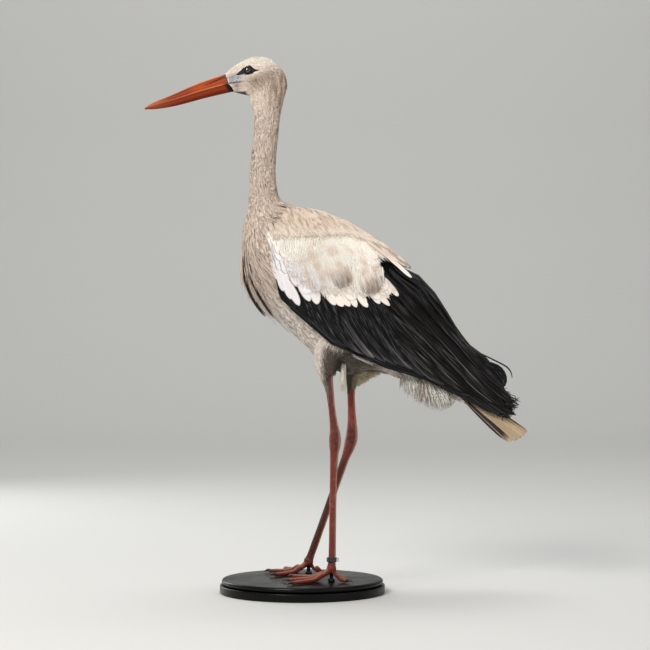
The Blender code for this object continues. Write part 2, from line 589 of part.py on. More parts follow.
def toe(name, start, knuckle, end, skin):
    """A toe that slopes down to its knuckle, then lies along the floor to its claw."""
    slope = (knuckle - start) / np.linalg.norm(knuckle - start)
    heading = (end - knuckle) * (1, 1, 0)
    reach = np.linalg.norm(heading)
    heading /= reach
    bend = min(TOE_BEND, 0.3 * reach)
    before = knuckle - slope * min(bend, 0.5 * np.linalg.norm(knuckle - start))
    after = knuckle + heading * bend
    middle = (after + end) / 2
    path = [start, before, after, middle - heading * bend * 0.6, middle, end]
    radii = TOE_RADIUS * np.array(TOE_SHARES)
    loft(f"toe_{name}", tube_rings(path, radii, TOE_SIDES), skin)


def claw(name, root, heading):
    """A claw that droops to the floor: its two outer points have heights of their own."""
    path = [root, root + heading * CLAW_LENGTH * 0.55, root + heading * CLAW_LENGTH]
    for point, height in zip(path[1:], CLAW_HEIGHTS):
        point[2] = FOOT_FLOOR + height
    horn = material("claw_horn", (0.05, 0.03, 0.02), 0.4)
    loft(f"claw_{name}", tube_rings(path, CLAW_RADII, CLAW_SIDES), horn)


def rod(side, hub):
    """The rod that holds the foot up, with a collar at the base."""
    collar_top = FOOT_FLOOR + COLLAR_HEIGHT
    profile = [(COLLAR_RADIUS, FOOT_FLOOR), (COLLAR_RADIUS, collar_top),
               (ROD_RADIUS, collar_top + COLLAR_EDGE),
               (ROD_RADIUS, hub[2] + HUB_PROFILE[0][1] - ROD_CLEAR)]
    metal = material("rod_metal", (0.03, 0.03, 0.035), 0.4, 0.8)
    turned(f"rod_{side}", profile, metal, centre=hub[:2], segments=HUB_SIDES)


def marking_ring():
    """A plain coloured band round the left leg just above the foot, with a small metal plate."""
    shank = np.array(SHANKS["left"])
    share = (RING_Z - shank[-1][2]) / (shank[-2][2] - shank[-1][2])
    centre = shank[-1][:3] + (shank[-2][:3] - shank[-1][:3]) * share
    angles = np.linspace(0, 2 * math.pi, RING_SEGMENTS, endpoint=False)
    half = RING_HEIGHT / 2
    section = ((RING_INNER, -half), (RING_OUTER, -half), (RING_OUTER, half), (RING_INNER, half))
    points, faces = [], []
    for i, u in enumerate(angles):
        for r, z in section:
            points.append(centre + np.array((r * math.cos(u), r * math.sin(u), z)))
        for k in range(4):
            a, b = i * 4 + k, i * 4 + (k + 1) % 4
            c, d = ((i + 1) % RING_SEGMENTS) * 4 + (k + 1) % 4, ((i + 1) % RING_SEGMENTS) * 4 + k
            faces.append((a, b, c, d))
    solid("leg_ring", points, facing_out(points, faces), material("ring_blue", (0.01, 0.02, 0.07), 0.35))
    out = np.array((math.cos(PLATE_TURN), math.sin(PLATE_TURN), 0))
    across = np.array((-out[1], out[0], 0))
    middle = centre + out * (RING_OUTER + GAP + PLATE_SIZE[0] / 2)
    rings = [[middle + out * PLATE_SIZE[0] / 2 * u + across * PLATE_SIZE[1] / 2 * v
              + np.array((0, 0, PLATE_SIZE[2] / 2 * w)) for u, v in ((-1, -1), (1, -1), (1, 1), (-1, 1))]
             for w in (-1, 1)]
    loft("leg_ring_plate", rings, material("plate_silver", (0.7, 0.7, 0.72), 0.3, 1.0))


def main():
    for obj in list(bpy.data.objects):
        bpy.data.objects.remove(obj)
    base()
    head()
    bill()
    trunk_room = neck_and_trunk()
    wings()
    tail()
    soft_feathers(trunk_room)
    legs(trunk_room)
    marking_ring()


main()
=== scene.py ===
# %% [markdown]
# # A mounted white stork
# A stork stands on a round black base. The frame from the workshop holds its solids at their true
# places, and this lesson dresses them: one skin, a coat of solid feathers, a horn bill, glass
# eyes, scaly legs and a satin stand. It could be sculpted by hand, but here every new shape is a
# formula worked out on whole numpy arrays, so each one can be read and changed.

# %% Load the frame
from math import cos, pi, radians, sin

import bpy
import numpy as np
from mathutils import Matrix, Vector
from mathutils.bvhtree import BVHTree


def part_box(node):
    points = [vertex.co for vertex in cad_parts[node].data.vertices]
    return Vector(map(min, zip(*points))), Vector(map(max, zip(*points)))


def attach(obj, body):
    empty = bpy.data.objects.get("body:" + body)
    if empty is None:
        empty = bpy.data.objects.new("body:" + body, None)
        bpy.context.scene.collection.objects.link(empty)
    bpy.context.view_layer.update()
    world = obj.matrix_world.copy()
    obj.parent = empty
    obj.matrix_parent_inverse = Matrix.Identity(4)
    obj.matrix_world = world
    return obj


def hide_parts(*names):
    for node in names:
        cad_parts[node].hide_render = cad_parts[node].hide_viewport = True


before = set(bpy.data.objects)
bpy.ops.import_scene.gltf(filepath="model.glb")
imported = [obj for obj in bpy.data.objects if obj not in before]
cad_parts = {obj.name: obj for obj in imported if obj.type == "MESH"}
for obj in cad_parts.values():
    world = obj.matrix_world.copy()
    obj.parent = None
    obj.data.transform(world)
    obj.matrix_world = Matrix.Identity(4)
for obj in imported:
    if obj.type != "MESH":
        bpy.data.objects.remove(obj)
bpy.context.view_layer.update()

# %% [markdown]
# ## A few tools
# A surface here is an array of points and an array of faces. Modifiers on simple shapes could
# rough it out, but a feather's curve is easier to give as a formula, so one small builder turns
# arrays into a mesh. It also stores what the finishes read: the painted colour, where a point
# lies on its feather, and a map that keeps each feather's patch near its root on the skin.

# %% Mesh builder
TAU = 2 * pi
seeded = np.random.default_rng  # a generator whose draws are the same on every run


def facing_out(points, faces):
    """The faces, all turned round if the closed surface they make holds a negative volume."""
    middle = points.mean(0)
    volume = 0.0
    for rows in faces:
        corner = points[np.asarray(rows)] - middle
        for k in range(1, corner.shape[1] - 1):
            volume += (corner[:, 0] * np.cross(corner[:, k], corner[:, k + 1])).sum()
    return faces if volume > 0 else [np.asarray(rows)[:, ::-1] for rows in faces]


def build(name, points, faces, finish, slot, stands_for=(), paint=None, vane=None, bake=None):
    """A mesh piece that rides on the body: faces is a list of arrays, one for each face size."""
    points = np.asarray(points, np.float32).reshape(-1, 3)
    faces = facing_out(points, faces)
    mesh = bpy.data.meshes.new(name)
    corners = np.concatenate([np.ravel(rows) for rows in faces]).astype(np.int32)
    sizes = np.concatenate([np.full(len(rows), np.shape(rows)[1]) for rows in faces]).astype(np.int32)
    mesh.vertices.add(len(points))
    mesh.vertices.foreach_set("co", points.ravel())
    mesh.loops.add(len(corners))
    mesh.loops.foreach_set("vertex_index", corners)
    mesh.polygons.add(len(sizes))
    mesh.polygons.foreach_set("loop_start", (np.cumsum(sizes) - sizes).astype(np.int32))
    mesh.polygons.foreach_set("use_smooth", np.ones(len(sizes), bool))
    if paint is not None:
        rgba = np.ones((len(points), 4), np.float32)
        rgba[:, :3] = np.asarray(paint).reshape(-1, 3)
        mesh.attributes.new("paint", "FLOAT_COLOR", "POINT").data.foreach_set("color", rgba.ravel())
    if vane is not None:
        layer = mesh.attributes.new("vane", "FLOAT_VECTOR", "POINT")
        layer.data.foreach_set("vector", np.asarray(vane, np.float32).ravel())
    if bake is not None:
        layer = mesh.uv_layers.new(name="OFBake")
        layer.data.foreach_set("uv", np.asarray(bake, np.float32).reshape(-1, 2)[corners].ravel())
    mesh.update(calc_edges=True)
    mesh.materials.append(finish)
    piece = bpy.data.objects.new(name, mesh)
    bpy.context.scene.collection.objects.link(piece)
    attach(piece, "root")
    if stands_for:
        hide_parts(*stands_for)
    print(f"{name}: {len(points)} points, {(sizes - 2).sum()} triangles")
    return piece


def tube_faces(rows, around, start=0, looped=False):
    """Faces of a tube, its points stored ring by ring. Its ends are capped, or joined if looped."""
    i, j = np.meshgrid(np.arange(rows if looped else rows - 1), np.arange(around), indexing="ij")
    here, there, k = i * around, (i + 1) % rows * around, (j + 1) % around
    quads = np.stack([here + j, here + k, there + k, there + j], -1).reshape(-1, 4) + start
    ring = np.arange(around) + start
    return [quads] if looped else [quads, np.array([ring[::-1], ring + (rows - 1) * around])]


# %% Curves and colours
def circle(count):
    """Angles all the way round, evenly spaced."""
    return np.linspace(0, TAU, count, endpoint=False)


def unit(vectors):
    """The vectors, each made one long."""
    return vectors / np.maximum(np.linalg.norm(vectors, axis=-1, keepdims=True), 1e-12)


def smooth_rows(rows, places):
    """Rows of numbers read between whole places on a Catmull-Rom curve through them."""
    rows = np.asarray(rows, float)
    padded = np.vstack([2 * rows[0] - rows[1], rows, 2 * rows[-1] - rows[-2]])
    places = np.clip(np.atleast_1d(places), 0, len(rows) - 1)
    i = np.minimum(places.astype(int), len(rows) - 2)
    f = (places - i)[:, None]
    p0, p1, p2, p3 = (padded[i + k] for k in range(4))
    return .5 * (2 * p1 + (p2 - p0) * f + (2 * p0 - 5 * p1 + 4 * p2 - p3) * f ** 2
        + (3 * p1 - p0 - 3 * p2 + p3) * f ** 3)


def ramp(*pairs):
    """A function that reads straight lines between (place, value) pairs."""
    places, values = zip(*pairs)
    return lambda x: np.interp(x, places, values)


def fade(low, high, x):
    """0 below low, 1 above high, and a smooth S between them (it may run downwards)."""
    f = np.clip((np.asarray(x, float) - low) / (high - low), 0, 1)
    return f * f * (3 - 2 * f)


def srgb(red, green, blue):
    """A colour given as screen values, 0 to 255, made linear by the standard power law."""
    value = np.array((red, green, blue), float) / 255
    return np.where(value <= .04045, value / 12.92, ((value + .055) / 1.055) ** 2.4)


def glazed(colour, *layers):
    """A colour under layers of (colour, share): each one moves it towards its own by its share."""
    for tone, share in layers:
        colour = colour + (tone - colour) * np.asarray(share)[..., None]
    return colour


# %% [markdown]
# ## Finishes
# A real feather is a row of fine barbs that slant forward from a shaft. Modelling each barb would
# take millions of faces, so a node group draws them: it reads where a point lies on its feather,
# and the barbs turn with every vane. Horn, skin and paint share a second group, a soft cloudy
# grain in the object's own space. A group is built once and takes its own values in each finish.

# %% Node helpers
NUMBER, COLOUR = "NodeSocketFloat", "NodeSocketColor"


def node(tree, kind, links=None, **settings):
    """A node with its settings made, and its inputs set to values or linked to sockets."""
    made = tree.nodes.new(kind)
    for key, value in settings.items():
        setattr(made, key, value)
    for key, value in (links or {}).items():
        if isinstance(value, bpy.types.NodeSocket):
            tree.links.new(value, made.inputs[key])
        else:
            made.inputs[key].default_value = value
    return made


def maths(tree):
    """A short way to write Math nodes: maths(tree)("ADD", a, b) is where a + b comes out."""
    return lambda operation, *values: node(tree, "ShaderNodeMath", dict(enumerate(values)),
        operation=operation).outputs[0]


def mapped(tree, value, low, high, to_low=0.0, to_high=1.0):
    """The value, moved from the range low to high into the range to_low to to_high."""
    return node(tree, "ShaderNodeMapRange", {"Value": value, "From Min": low, "From Max": high,
        "To Min": to_low, "To Max": to_high}).outputs[0]


def packed(tree, x, y, z):
    """Three values as one vector."""
    return node(tree, "ShaderNodeCombineXYZ", {"X": x, "Y": y, "Z": z}).outputs[0]


def noise(tree, place, scale, detail):
    """Soft noise, 0 to 1, read at place."""
    return node(tree, "ShaderNodeTexNoise", {"Vector": place, "Scale": scale,
        "Detail": detail}).outputs["Fac"]


def dimmed(tree, colour, factor):
    """The colour times the factor."""
    return node(tree, "ShaderNodeVectorMath", {0: colour, "Scale": factor}, operation="SCALE").outputs[0]


def stored(tree, layer, kind="Color"):
    """A value that was stored on the mesh's points."""
    return node(tree, "ShaderNodeAttribute", attribute_name=layer).outputs[kind]


def group(name, **inputs):
    """An empty node group: its inputs are named with their values, and it gives Colour and Height."""
    tree = bpy.data.node_groups.new(name, "ShaderNodeTree")
    for label, value in inputs.items():
        kind = NUMBER if isinstance(value, float) else COLOUR
        tree.interface.new_socket(label, in_out="INPUT", socket_type=kind).default_value = value
    for label, kind in (("Colour", COLOUR), ("Height", NUMBER)):
        tree.interface.new_socket(label, in_out="OUTPUT", socket_type=kind)
    return tree, node(tree, "NodeGroupInput").outputs, node(tree, "NodeGroupOutput").inputs, maths(tree)


# %% Barbs
PLAIN = (1, 1, 1, 1)
barbs, takes, gives, do = group("barbs", Paint=PLAIN, Streaks=20.0, Across=1.0, Contrast=.3, Shaft=.2,
    Gleam=0.0)
place = node(barbs, "ShaderNodeSeparateXYZ", {0: stored(barbs, "vane", "Vector")}).outputs
aside = do("ABSOLUTE", place["Y"])
slant = do("SUBTRACT", place["X"], do("MULTIPLY", aside, .3))
streak = noise(barbs, packed(barbs, do("MULTIPLY", slant, takes["Streaks"]),
    do("MULTIPLY", place["Y"], takes["Across"]), do("MULTIPLY", place["Z"], 60.0)), 1.0, 3.0)
lines = mapped(barbs, streak, .32, .68)
near_shaft = mapped(barbs, aside, .1, .02)
dim = do("SUBTRACT", 1.0, do("MULTIPLY", takes["Contrast"], do("SUBTRACT", 1.0, lines)))
dim = do("MULTIPLY", dim, do("SUBTRACT", 1.0, do("MULTIPLY", takes["Shaft"], near_shaft)))
# Gleams are pale lines of painted sheen along thin splits between barbs: they run well along the vane
# before they reach its edge.
drawn_back = do("SUBTRACT", aside, do("MULTIPLY", place["X"], 1.5))
split = noise(barbs, packed(barbs, do("MULTIPLY", place["X"], 5.0), do("MULTIPLY", drawn_back, 9.0),
    do("MULTIPLY", place["Z"], 90.0)), 1.0, 2.0)
gleam = do("MULTIPLY", mapped(barbs, split, .55, .76), takes["Gleam"])
paler = packed(barbs, gleam, gleam, do("MULTIPLY", gleam, 1.04))
lit = node(barbs, "ShaderNodeVectorMath", {0: dimmed(barbs, takes["Paint"], dim), 1: paler},
    operation="ADD")
barbs.links.new(lit.outputs[0], gives["Colour"])
barbs.links.new(do("ADD", lines, near_shaft), gives["Height"])

# %% Clouds
clouds, takes, gives, do = group("clouds", Paint=PLAIN, Size=.01, Contrast=.3)
cloud = noise(clouds, node(clouds, "ShaderNodeTexCoord").outputs["Object"],
    do("DIVIDE", 1.0, takes["Size"]), 5.0)
dim = do("SUBTRACT", 1.0, do("MULTIPLY", takes["Contrast"], do("SUBTRACT", 1.0, cloud)))
clouds.links.new(dimmed(clouds, takes["Paint"], dim), gives["Colour"])
clouds.links.new(cloud, gives["Height"])


# %% Finish helpers
def new_finish(name, roughness, metallic=0.0, coat=0.0, coat_roughness=.03, specular=.5, sheen=0.0):
    """A material with its Principled shader's plain values set, and its node tree."""
    made = bpy.data.materials.new(name)
    made.use_nodes = True
    shader = made.node_tree.nodes["Principled BSDF"]
    for key, value in (("Roughness", roughness), ("Metallic", metallic), ("Coat Weight", coat),
            ("Coat Roughness", coat_roughness), ("Specular IOR Level", specular), ("Sheen Weight", sheen)):
        shader.inputs[key].default_value = value
    return made, made.node_tree, shader


def use(tree, effect, **values):
    """One of the shared effects, placed in a material with its own values."""
    return node(tree, "ShaderNodeGroup", values, node_tree=effect).outputs


def coloured(tree, shader, socket):
    """Links a colour to the shader's base colour."""
    tree.links.new(socket, shader.inputs["Base Color"])


def bump(tree, shader, height, strength, distance):
    """Links a height to the shader's normal."""
    made = node(tree, "ShaderNodeBump", {"Height": height, "Strength": strength, "Distance": distance})
    tree.links.new(made.outputs[0], shader.inputs["Normal"])


def cloudy_finish(name, roughness, paint, size, contrast, **plain):
    """A finish of one paint with soft clouds in it. It also gives the clouds' height."""
    made, tree, shader = new_finish(name, roughness, **plain)
    effect = use(tree, clouds, Paint=(*paint, 1), Size=size, Contrast=contrast)
    coloured(tree, shader, effect["Colour"])
    return made, tree, shader, effect["Height"]


def feather_finish(name, roughness, streaks, across, contrast, shaft, height=.0002, gleam=0.0, **plain):
    """A finish that shows the painted colour through the barbs."""
    made, tree, shader = new_finish(name, roughness, **{"specular": .25, **plain})
    effect = use(tree, barbs, Paint=stored(tree, "paint"), Streaks=streaks, Across=across,
        Contrast=contrast, Shaft=shaft, Gleam=gleam)
    coloured(tree, shader, effect["Colour"])
    bump(tree, shader, effect["Height"], .5, height)
    return made


soft_finish = feather_finish("soft_feather", .85, 2.0, 3.0, .3, 0.0, sheen=.12)
face_finish = feather_finish("face_feather", .85, 2.0, 3.0, .16, 0.0, sheen=.12)
covert_finish = feather_finish("covert_feather", .8, 14.0, 2.0, .16, .06, sheen=.15)
flight_finish = feather_finish("flight_feather", .4, 60.0, 1.0, .6, -.8, .0004, .1, specular=.11)
tail_finish = feather_finish("tail_feather", .7, 80.0, 1.0, .28, .15)
print("finishes for feathers", [finish.name for finish in bpy.data.materials if "feather" in finish.name])

# %% [markdown]
# ## Light, floor and camera
# The view is a long lens at the height of the bird's thighs, square to its side. A single sun
# would give hard shadows, so a large soft key stands up and to the left in front, with a weaker
# fill, and a strip behind draws a thin bright line down the legs and round the base.

# %% Lamps, world and camera
scene = bpy.context.scene
BODY_MIDDLE = (.05, 0.0, .62)


def placed(name, data, place, turned):
    """A lamp or a camera, put in the scene."""
    holder = bpy.data.objects.new(name, data)
    holder.location, holder.rotation_euler = place, turned
    scene.collection.objects.link(holder)
    return holder


def area_light(name, place, target, size, power, colour=(1, 1, 1)):
    """A rectangular lamp at place that faces target."""
    lamp = bpy.data.lights.new(name, "AREA")
    lamp.shape = "RECTANGLE"
    lamp.size, lamp.size_y = size
    lamp.energy, lamp.color = power, colour
    placed(name, lamp, place, (Vector(target) - Vector(place)).to_track_quat("-Z", "Y").to_euler())


area_light("key", (-1.5, -2.6, 2.3), BODY_MIDDLE, (1.3, 1.1), 104, (1.0, .965, .92))
area_light("fill", (2.4, -2.2, 1.2), BODY_MIDDLE, (1.6, 1.6), 16, (.94, .97, 1.0))
area_light("top", (.2, .5, 2.6), BODY_MIDDLE, (1.6, 1.2), 26)
area_light("edge", (-1.6, 1.9, 1.1), (0.0, 0.0, .4), (.9, 1.6), 18)
area_light("backdrop", (0.0, 2.6, 4.6), (0.0, 6.0, 1.2), (6.0, 1.5), 110, (1.0, .995, .975))
scene.world = bpy.data.worlds.new("studio")
scene.world.use_nodes = True
background = scene.world.node_tree.nodes["Background"].inputs
background["Color"].default_value = (.8, .81, .83, 1)
background["Strength"].default_value = .36
scene.view_settings.view_transform = "Standard"
lens = bpy.data.cameras.new("long_lens")
lens.lens, lens.sensor_width = 116.3, 36.0
scene.camera = placed("camera", lens, (.0402, -3.738, .4757), (pi / 2, 0, 0))

# %% Floor
FRONT, BEND_START, BEND_RADIUS, LENGTH, HALF_WIDTH, STEPS = -7, 4.6, 1.6, 17, 9, 40
across, up = np.meshgrid(np.linspace(-HALF_WIDTH, HALF_WIDTH, 3), np.linspace(0, 1, STEPS), indexing="ij")
run = up * LENGTH + FRONT
turn = np.clip((run - BEND_START) / BEND_RADIUS, 0, pi / 2)
floor_y = np.where(run < BEND_START, run, BEND_START + BEND_RADIUS * np.sin(turn))
floor_z = BEND_RADIUS * (1 - np.cos(turn)) + np.maximum(run - BEND_START - BEND_RADIUS * pi / 2, 0)
i, j = np.meshgrid(np.arange(2), np.arange(STEPS - 1), indexing="ij")
here, there = i * STEPS + j, (i + 1) * STEPS + j
floor_mesh = bpy.data.meshes.new("floor")
floor_mesh.from_pydata(np.stack([across, floor_y, floor_z], -1).reshape(-1, 3).tolist(), [],
    np.stack([here, there, there + 1, here + 1], -1).reshape(-1, 4).tolist())
floor_mesh.shade_smooth()
floor = placed("floor", floor_mesh, (0, 0, 0), (0, 0, 0))
floor_finish, tree, shader = new_finish("floor_pale", .8)
shader.inputs["Base Color"].default_value = (.62, .62, .6, 1)
floor_mesh.materials.append(floor_finish)

# %% [markdown]
# ## The body's form
# Under its feathers a stork is one long sweep from the bill to the tail. It could be sculpted
# from a few spheres, but skin and feathers both need to know where they lie on it. So the outline
# is a ladder: each rung stands between a point on the back line and one on the front line, with a
# half width. Read as a smooth curve, it gives a surface of two parameters, s along and t round.

# %% Body surface
# (back x, back z, front x, front z, half width, egg), in metres, from the bill's base to the rump
LADDER = np.array([
    (-.138, .9225, -.1255, .8915, .011, .1), (-.12, .937, -.113, .8885, .017, .1),
    (-.1, .948, -.103, .886, .0215, .05), (-.08, .953, -.0955, .8835, .024, .00),
    (-.057, .9485, -.093, .8805, .0245, -.05), (-.034, .927, -.0922, .876, .0238, -.05),
    (-.0272, .902, -.0918, .868, .0228, .00), (-.0322, .882, -.0892, .86, .0218, .00),
    (-.0385, .855, -.0853, .847, .0208, .00), (-.0428, .82, -.0862, .818, .02, .00),
    (-.0478, .762, -.0925, .76, .0202, .00), (-.0462, .7225, -.094, .715, .0235, .05),
    (-.038, .6985, -.0985, .678, .031, .1), (-.0095, .6855, -.106, .637, .045, .1),
    (.032, .6755, -.1045, .588, .059, .05), (.069, .6635, -.0915, .549, .065, .05),
    (.104, .6435, -.069, .512, .067, .05), (.139, .62, -.037, .48, .066, .00),
    (.169, .588, -.0005, .446, .062, .00), (.195, .552, .044, .403, .058, -.15),
    (.221, .509, .09, .389, .05, -.1), (.244, .467, .1345, .393, .041, .00),
    (.264, .428, .177, .381, .032, .00), (.2815, .396, .2307, .363, .023, .00),
    (.2975, .371, .275, .344, .015, .00)])
S_END = len(LADDER) - 1
# One more rung past the last carries the feathers that lie over the tail's root.
s_fine = np.linspace(0, S_END + 1, 501)
ladder_fine = smooth_rows(np.vstack([LADDER, 2 * LADDER[-1] - LADDER[-2]]), s_fine)


def body(s, t, depth=0.0):
    """The surface at s and t, depth inside it: a section's centre, plus its half height times
    cos t along the rung, plus its half width times sin t across, fuller at back or front by egg."""
    back_x, back_z, front_x, front_z, half_width, egg = (np.interp(s, s_fine, c) for c in ladder_fine.T)
    rung_x, rung_z = (back_x - front_x) / 2, (back_z - front_z) / 2
    half = np.hypot(rung_x, rung_z)
    high = (half - depth) * np.cos(t) / half
    wide = (half_width - depth) * np.sin(t) * (1 - egg * np.cos(t))
    return np.stack([(back_x + front_x) / 2 + rung_x * high, wide, (back_z + front_z) / 2 + rung_z * high],
        -1)


def body_frame(s, t, depth=0.0):
    """Point, outward normal and direction along the bird."""
    step = .02
    along = (body(s + step, t, depth) - body(s - step, t, depth)) / (2 * step)
    around = (body(s, t + step, depth) - body(s, t - step, depth)) / (2 * step)
    return body(s, t, depth), unit(np.cross(along, around)), unit(along)


# How deep the skin lies under the feather tips: least on the face, most on the trunk.
coat_depth = ramp((0, .0008), (2, .0011), (7, .0022), (12, .004), (14, .0055), (23, .0055), (24, .004))
for s_name, s_value in (("crown", 3), ("neck", 10), ("trunk", 16)):
    print(s_name, "depth of section", np.round(np.linalg.norm(body(s_value, 0.0) - body(s_value, pi)), 4))

# %% [markdown]
# ## Markings
# The plumage runs from cream through beige to brown, with grey-blue skin before the eye, and the
# belly's underside is painted dark brown as shade. An image could be wrapped round it, but one
# painter for skin and coat alike needs no map and leaves no bare patch of a different shade. It
# lays soft-edged fields over one another, clouded by a smooth noise made from a few sine waves in
# scattered directions.

# %% Noise and plumage colours
CREAM, BEIGE, BROWN = srgb(255, 239, 223), srgb(238, 219, 203), srgb(154, 128, 104)
WHITE, GREY, SHADE = srgb(252, 241, 233), srgb(240, 220, 204), srgb(58, 44, 33)
MANTLE, LORE = srgb(232, 212, 192), srgb(200, 203, 211)


def waves(points, size, seed, stretch=(1, 1, 1)):
    """Smooth noise, about -1 to 1: sines in 24 seeded directions, each about size long."""
    dice = seeded(seed)
    way = unit(dice.normal(size=(24, 3))) * dice.uniform(.6, 1.7, (24, 1)) * TAU / size
    phase = dice.uniform(0, TAU, 24)
    return np.sin((np.asarray(points) / np.asarray(stretch)) @ way.T + phase).sum(-1) / 5.0


def spot(points, x, z, long_x, long_z):
    """A soft field round (x, z) seen from the side: exp of minus the squared distance over its size."""
    return np.exp(-((points[..., 0] - x) / long_x) ** 2 - ((points[..., 2] - z) / long_z) ** 2)


# %% Bare patch round the eye
# A spindle from its front tip to the end of its rear point: its axis bends and its half height swells.
PATCH_FRONT, PATCH_REAR = -.1185, -.0752
patch_axis = ramp((0, .9191), (.1, .9201), (.22, .923), (.36, .9259), (.46, .9266), (.66, .9264),
    (.75, .9261), (1, .9265))
patch_half = ramp((0, .0003), (.09, .0021), (.22, .0042), (.36, .0061), (.46, .0078), (.52, .0084),
    (.58, .0081), (.66, .0062), (.75, .0033), (.84, .0016), (1, .0004))


def eye_patch(x, z):
    """Under 1 inside the patch: the height off its axis over its half height there."""
    share = np.clip((x - PATCH_FRONT) / (PATCH_REAR - PATCH_FRONT), 0, 1)
    beyond = np.maximum(PATCH_FRONT - x, x - PATCH_REAR)
    return np.abs(z - patch_axis(share)) / patch_half(share) + np.maximum(beyond, 0) * 2e4


def in_patch(spots, edge):
    """Whether points lie within edge times the patch, on either side of the head."""
    return (eye_patch(spots[..., 0], spots[..., 2]) < edge) & (np.abs(spots[..., 1]) > .006)


# %% Plumage painter
def plumage(points):
    """Linear colour at each point of the body's coat: head, neck, breast and mantle, then belly,
    whose underside is painted dark brown as shade.
    """
    x, y, z = np.moveaxis(np.asarray(points), -1, 0)
    streaky, cloudy = waves(points, .01, 3, (1, 1, 3.5)), waves(points, .03, 4)
    fine, specks = waves(points, .006, 5), waves(points, .0028, 8)
    mottle = fade(-.5, .8, streaky + .5 * fine)
    flecks = fade(-.5, .6, waves(points, .0045, 6, (1.8, 1, 1)))
    nape = fade(-.075, -.045, x) * fade(.84, .885, z) * fade(.943, .915, z)
    cheek = spot(points, -.08, .905, .018, .013) + .6 * spot(points, -.06, .918, .012, .008)
    neck = fade(.885, .86, z) * fade(.6, .68, z)
    lore = np.clip(1.3 * spot(points, -.12, .913, .015, .008), 0, 1)
    throat = fade(.8912, .889, z) * fade(-.096, -.102, x) * fade(.86, .87, z)
    gape = (fade(.0019, .0002, np.abs(z - .9062 - .05 * (x + .11))) * fade(-.098, -.11, x)
        * fade(.88, .89, z))
    mantle = fade(.715, .69, z) * fade(-.06, -.02, x) * fade(.5, .6, z)
    # Painted shade: the belly's underside is painted dark brown, eased to a paler tan low at its rear.
    belly_shade = fade(.448, .424, z) * fade(.024, .044, x) * fade(.155, .115, x)
    vent = fade(.13, .19, x) * fade(.44, .4, z)
    return glazed(BEIGE, (CREAM, fade(.8, .93, z)), (srgb(158, 124, 100), .8 * nape * (.45 + .55 * mottle)),
        (BROWN, .92 * np.clip(1.15 * cheek, 0, 1) * (.68 + .32 * flecks)),
        (BROWN, .24 * neck * fade(0.0, 1.1, streaky)), (LORE, .85 * lore),
        (srgb(70, 66, 74), .62 * lore * fade(.1, .9, specks) * fade(-.104, -.112, x)),
        (srgb(112, 94, 98), (.35 + .5 * flecks) * spot(points, -.116, .8985, .008, .006)),
        (srgb(140, 122, 116), .7 * mottle * spot(points, -.0905, .887, .006, .006)),
        (srgb(40, 32, 30), .9 * throat), (srgb(84, 50, 50), .9 * gape),
        (GREY, .6 * fade(.7, .6, z) * fade(.035, -.02, x)), (MANTLE, .9 * mantle),
        (BROWN, .22 * mantle * fade(0.0, 1.0, cloudy + .6 * fine)), (WHITE, .75 * fade(.56, .5, z)),
        (SHADE, .9 * belly_shade), (srgb(168, 152, 124),
        .85 * belly_shade * fade(.088, .108, x) * fade(.408, .392, z)),
        (BROWN, .55 * vent * fade(.3, 1.0, cloudy)))


# %% [markdown]
# ## Legs and feet
# The bare legs are thin rods with swollen joints, and each toe is a row of pads. New bones could
# be drawn, but the workshop's solids already say where they run, so their centres and radii are
# measured by slicing them. A finer tube is carried along each measured line, and the toes are
# melted into their hub by a fine voxel remesh, as flesh joins flesh with no crease.

# %% Measuring the solids
def box(name):
    """The low and the high corner of a solid's box."""
    return (np.array(corner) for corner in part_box(name))


def slices(names, axis, levels):
    """Centre and radius of the named solids where planes square to axis cut them: each edge that
    crosses a plane gives a point, and they are averaged."""
    corners = []
    for name in names:
        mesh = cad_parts[name].data
        points = np.empty(len(mesh.vertices) * 3, np.float32)
        mesh.vertices.foreach_get("co", points)
        rows = np.array([tuple(p.vertices) for p in mesh.polygons])
        corners.append(points.reshape(-1, 3)[rows].astype(float))
    corners = np.concatenate(corners)
    a, b = (np.concatenate([corners[:, k % 3] for k in range(first, first + 3)]) for first in (0, 1))
    ha, hb = a @ axis, b @ axis
    rows = []
    for level in levels:
        hit = (ha - level) * (hb - level) < 0
        if hit.sum() < 8:
            continue
        ring = a[hit] + (b[hit] - a[hit]) * ((level - ha[hit]) / (hb[hit] - ha[hit]))[:, None]
        centre = (ring.max(0) + ring.min(0)) / 2
        flat = (ring - centre) - ((ring - centre) @ axis)[:, None] * axis
        rows.append((*centre, np.linalg.norm(flat, axis=1).mean()))
    return np.array(rows)


def resample(rows, count):
    """Rows of (x, y, z, radius) made evenly spaced along their length on a smooth curve."""
    fine = smooth_rows(rows, np.linspace(0, len(rows) - 1, 40 * len(rows)))
    length = np.concatenate([[0], np.cumsum(np.linalg.norm(np.diff(fine[:, :3], axis=0), axis=1))])
    return np.stack([np.interp(np.linspace(0, length[-1], count), length, c) for c in fine.T], -1)


# %% Tubes and working meshes
def tube(path, radii, around, shape=None):
    """Rings of points round a path, with no twist from one to the next. Shape may change each
    ring's radius: it gets the share along and the angle, and gives a factor."""
    path, radii = np.asarray(path, float), np.asarray(radii, float)
    forward = unit(np.gradient(path, axis=0))
    angle = circle(around)
    side = unit(np.cross(forward[0], (0.0, 1.0, .03)))
    sides = []
    for way in forward:
        side = unit(side - (side @ way) * way)
        sides.append(side)
    sides = np.array(sides)
    factor = 1.0 if shape is None else shape(np.linspace(0, 1, len(path))[:, None], angle[None, :])
    reach = (radii[:, None] * factor)[..., None]
    return path[:, None] + reach * (np.cos(angle)[None, :, None] * sides[:, None]
        + np.sin(angle)[None, :, None] * np.cross(forward, sides)[:, None])


def bare_object(name, points, faces):
    """A working mesh that later steps use up."""
    points = np.asarray(points).reshape(-1, 3)
    mesh = bpy.data.meshes.new(name)
    mesh.from_pydata(points.tolist(), [], [f for rows in facing_out(points, faces) for f in rows.tolist()])
    return placed(name, mesh, (0, 0, 0), (0, 0, 0))


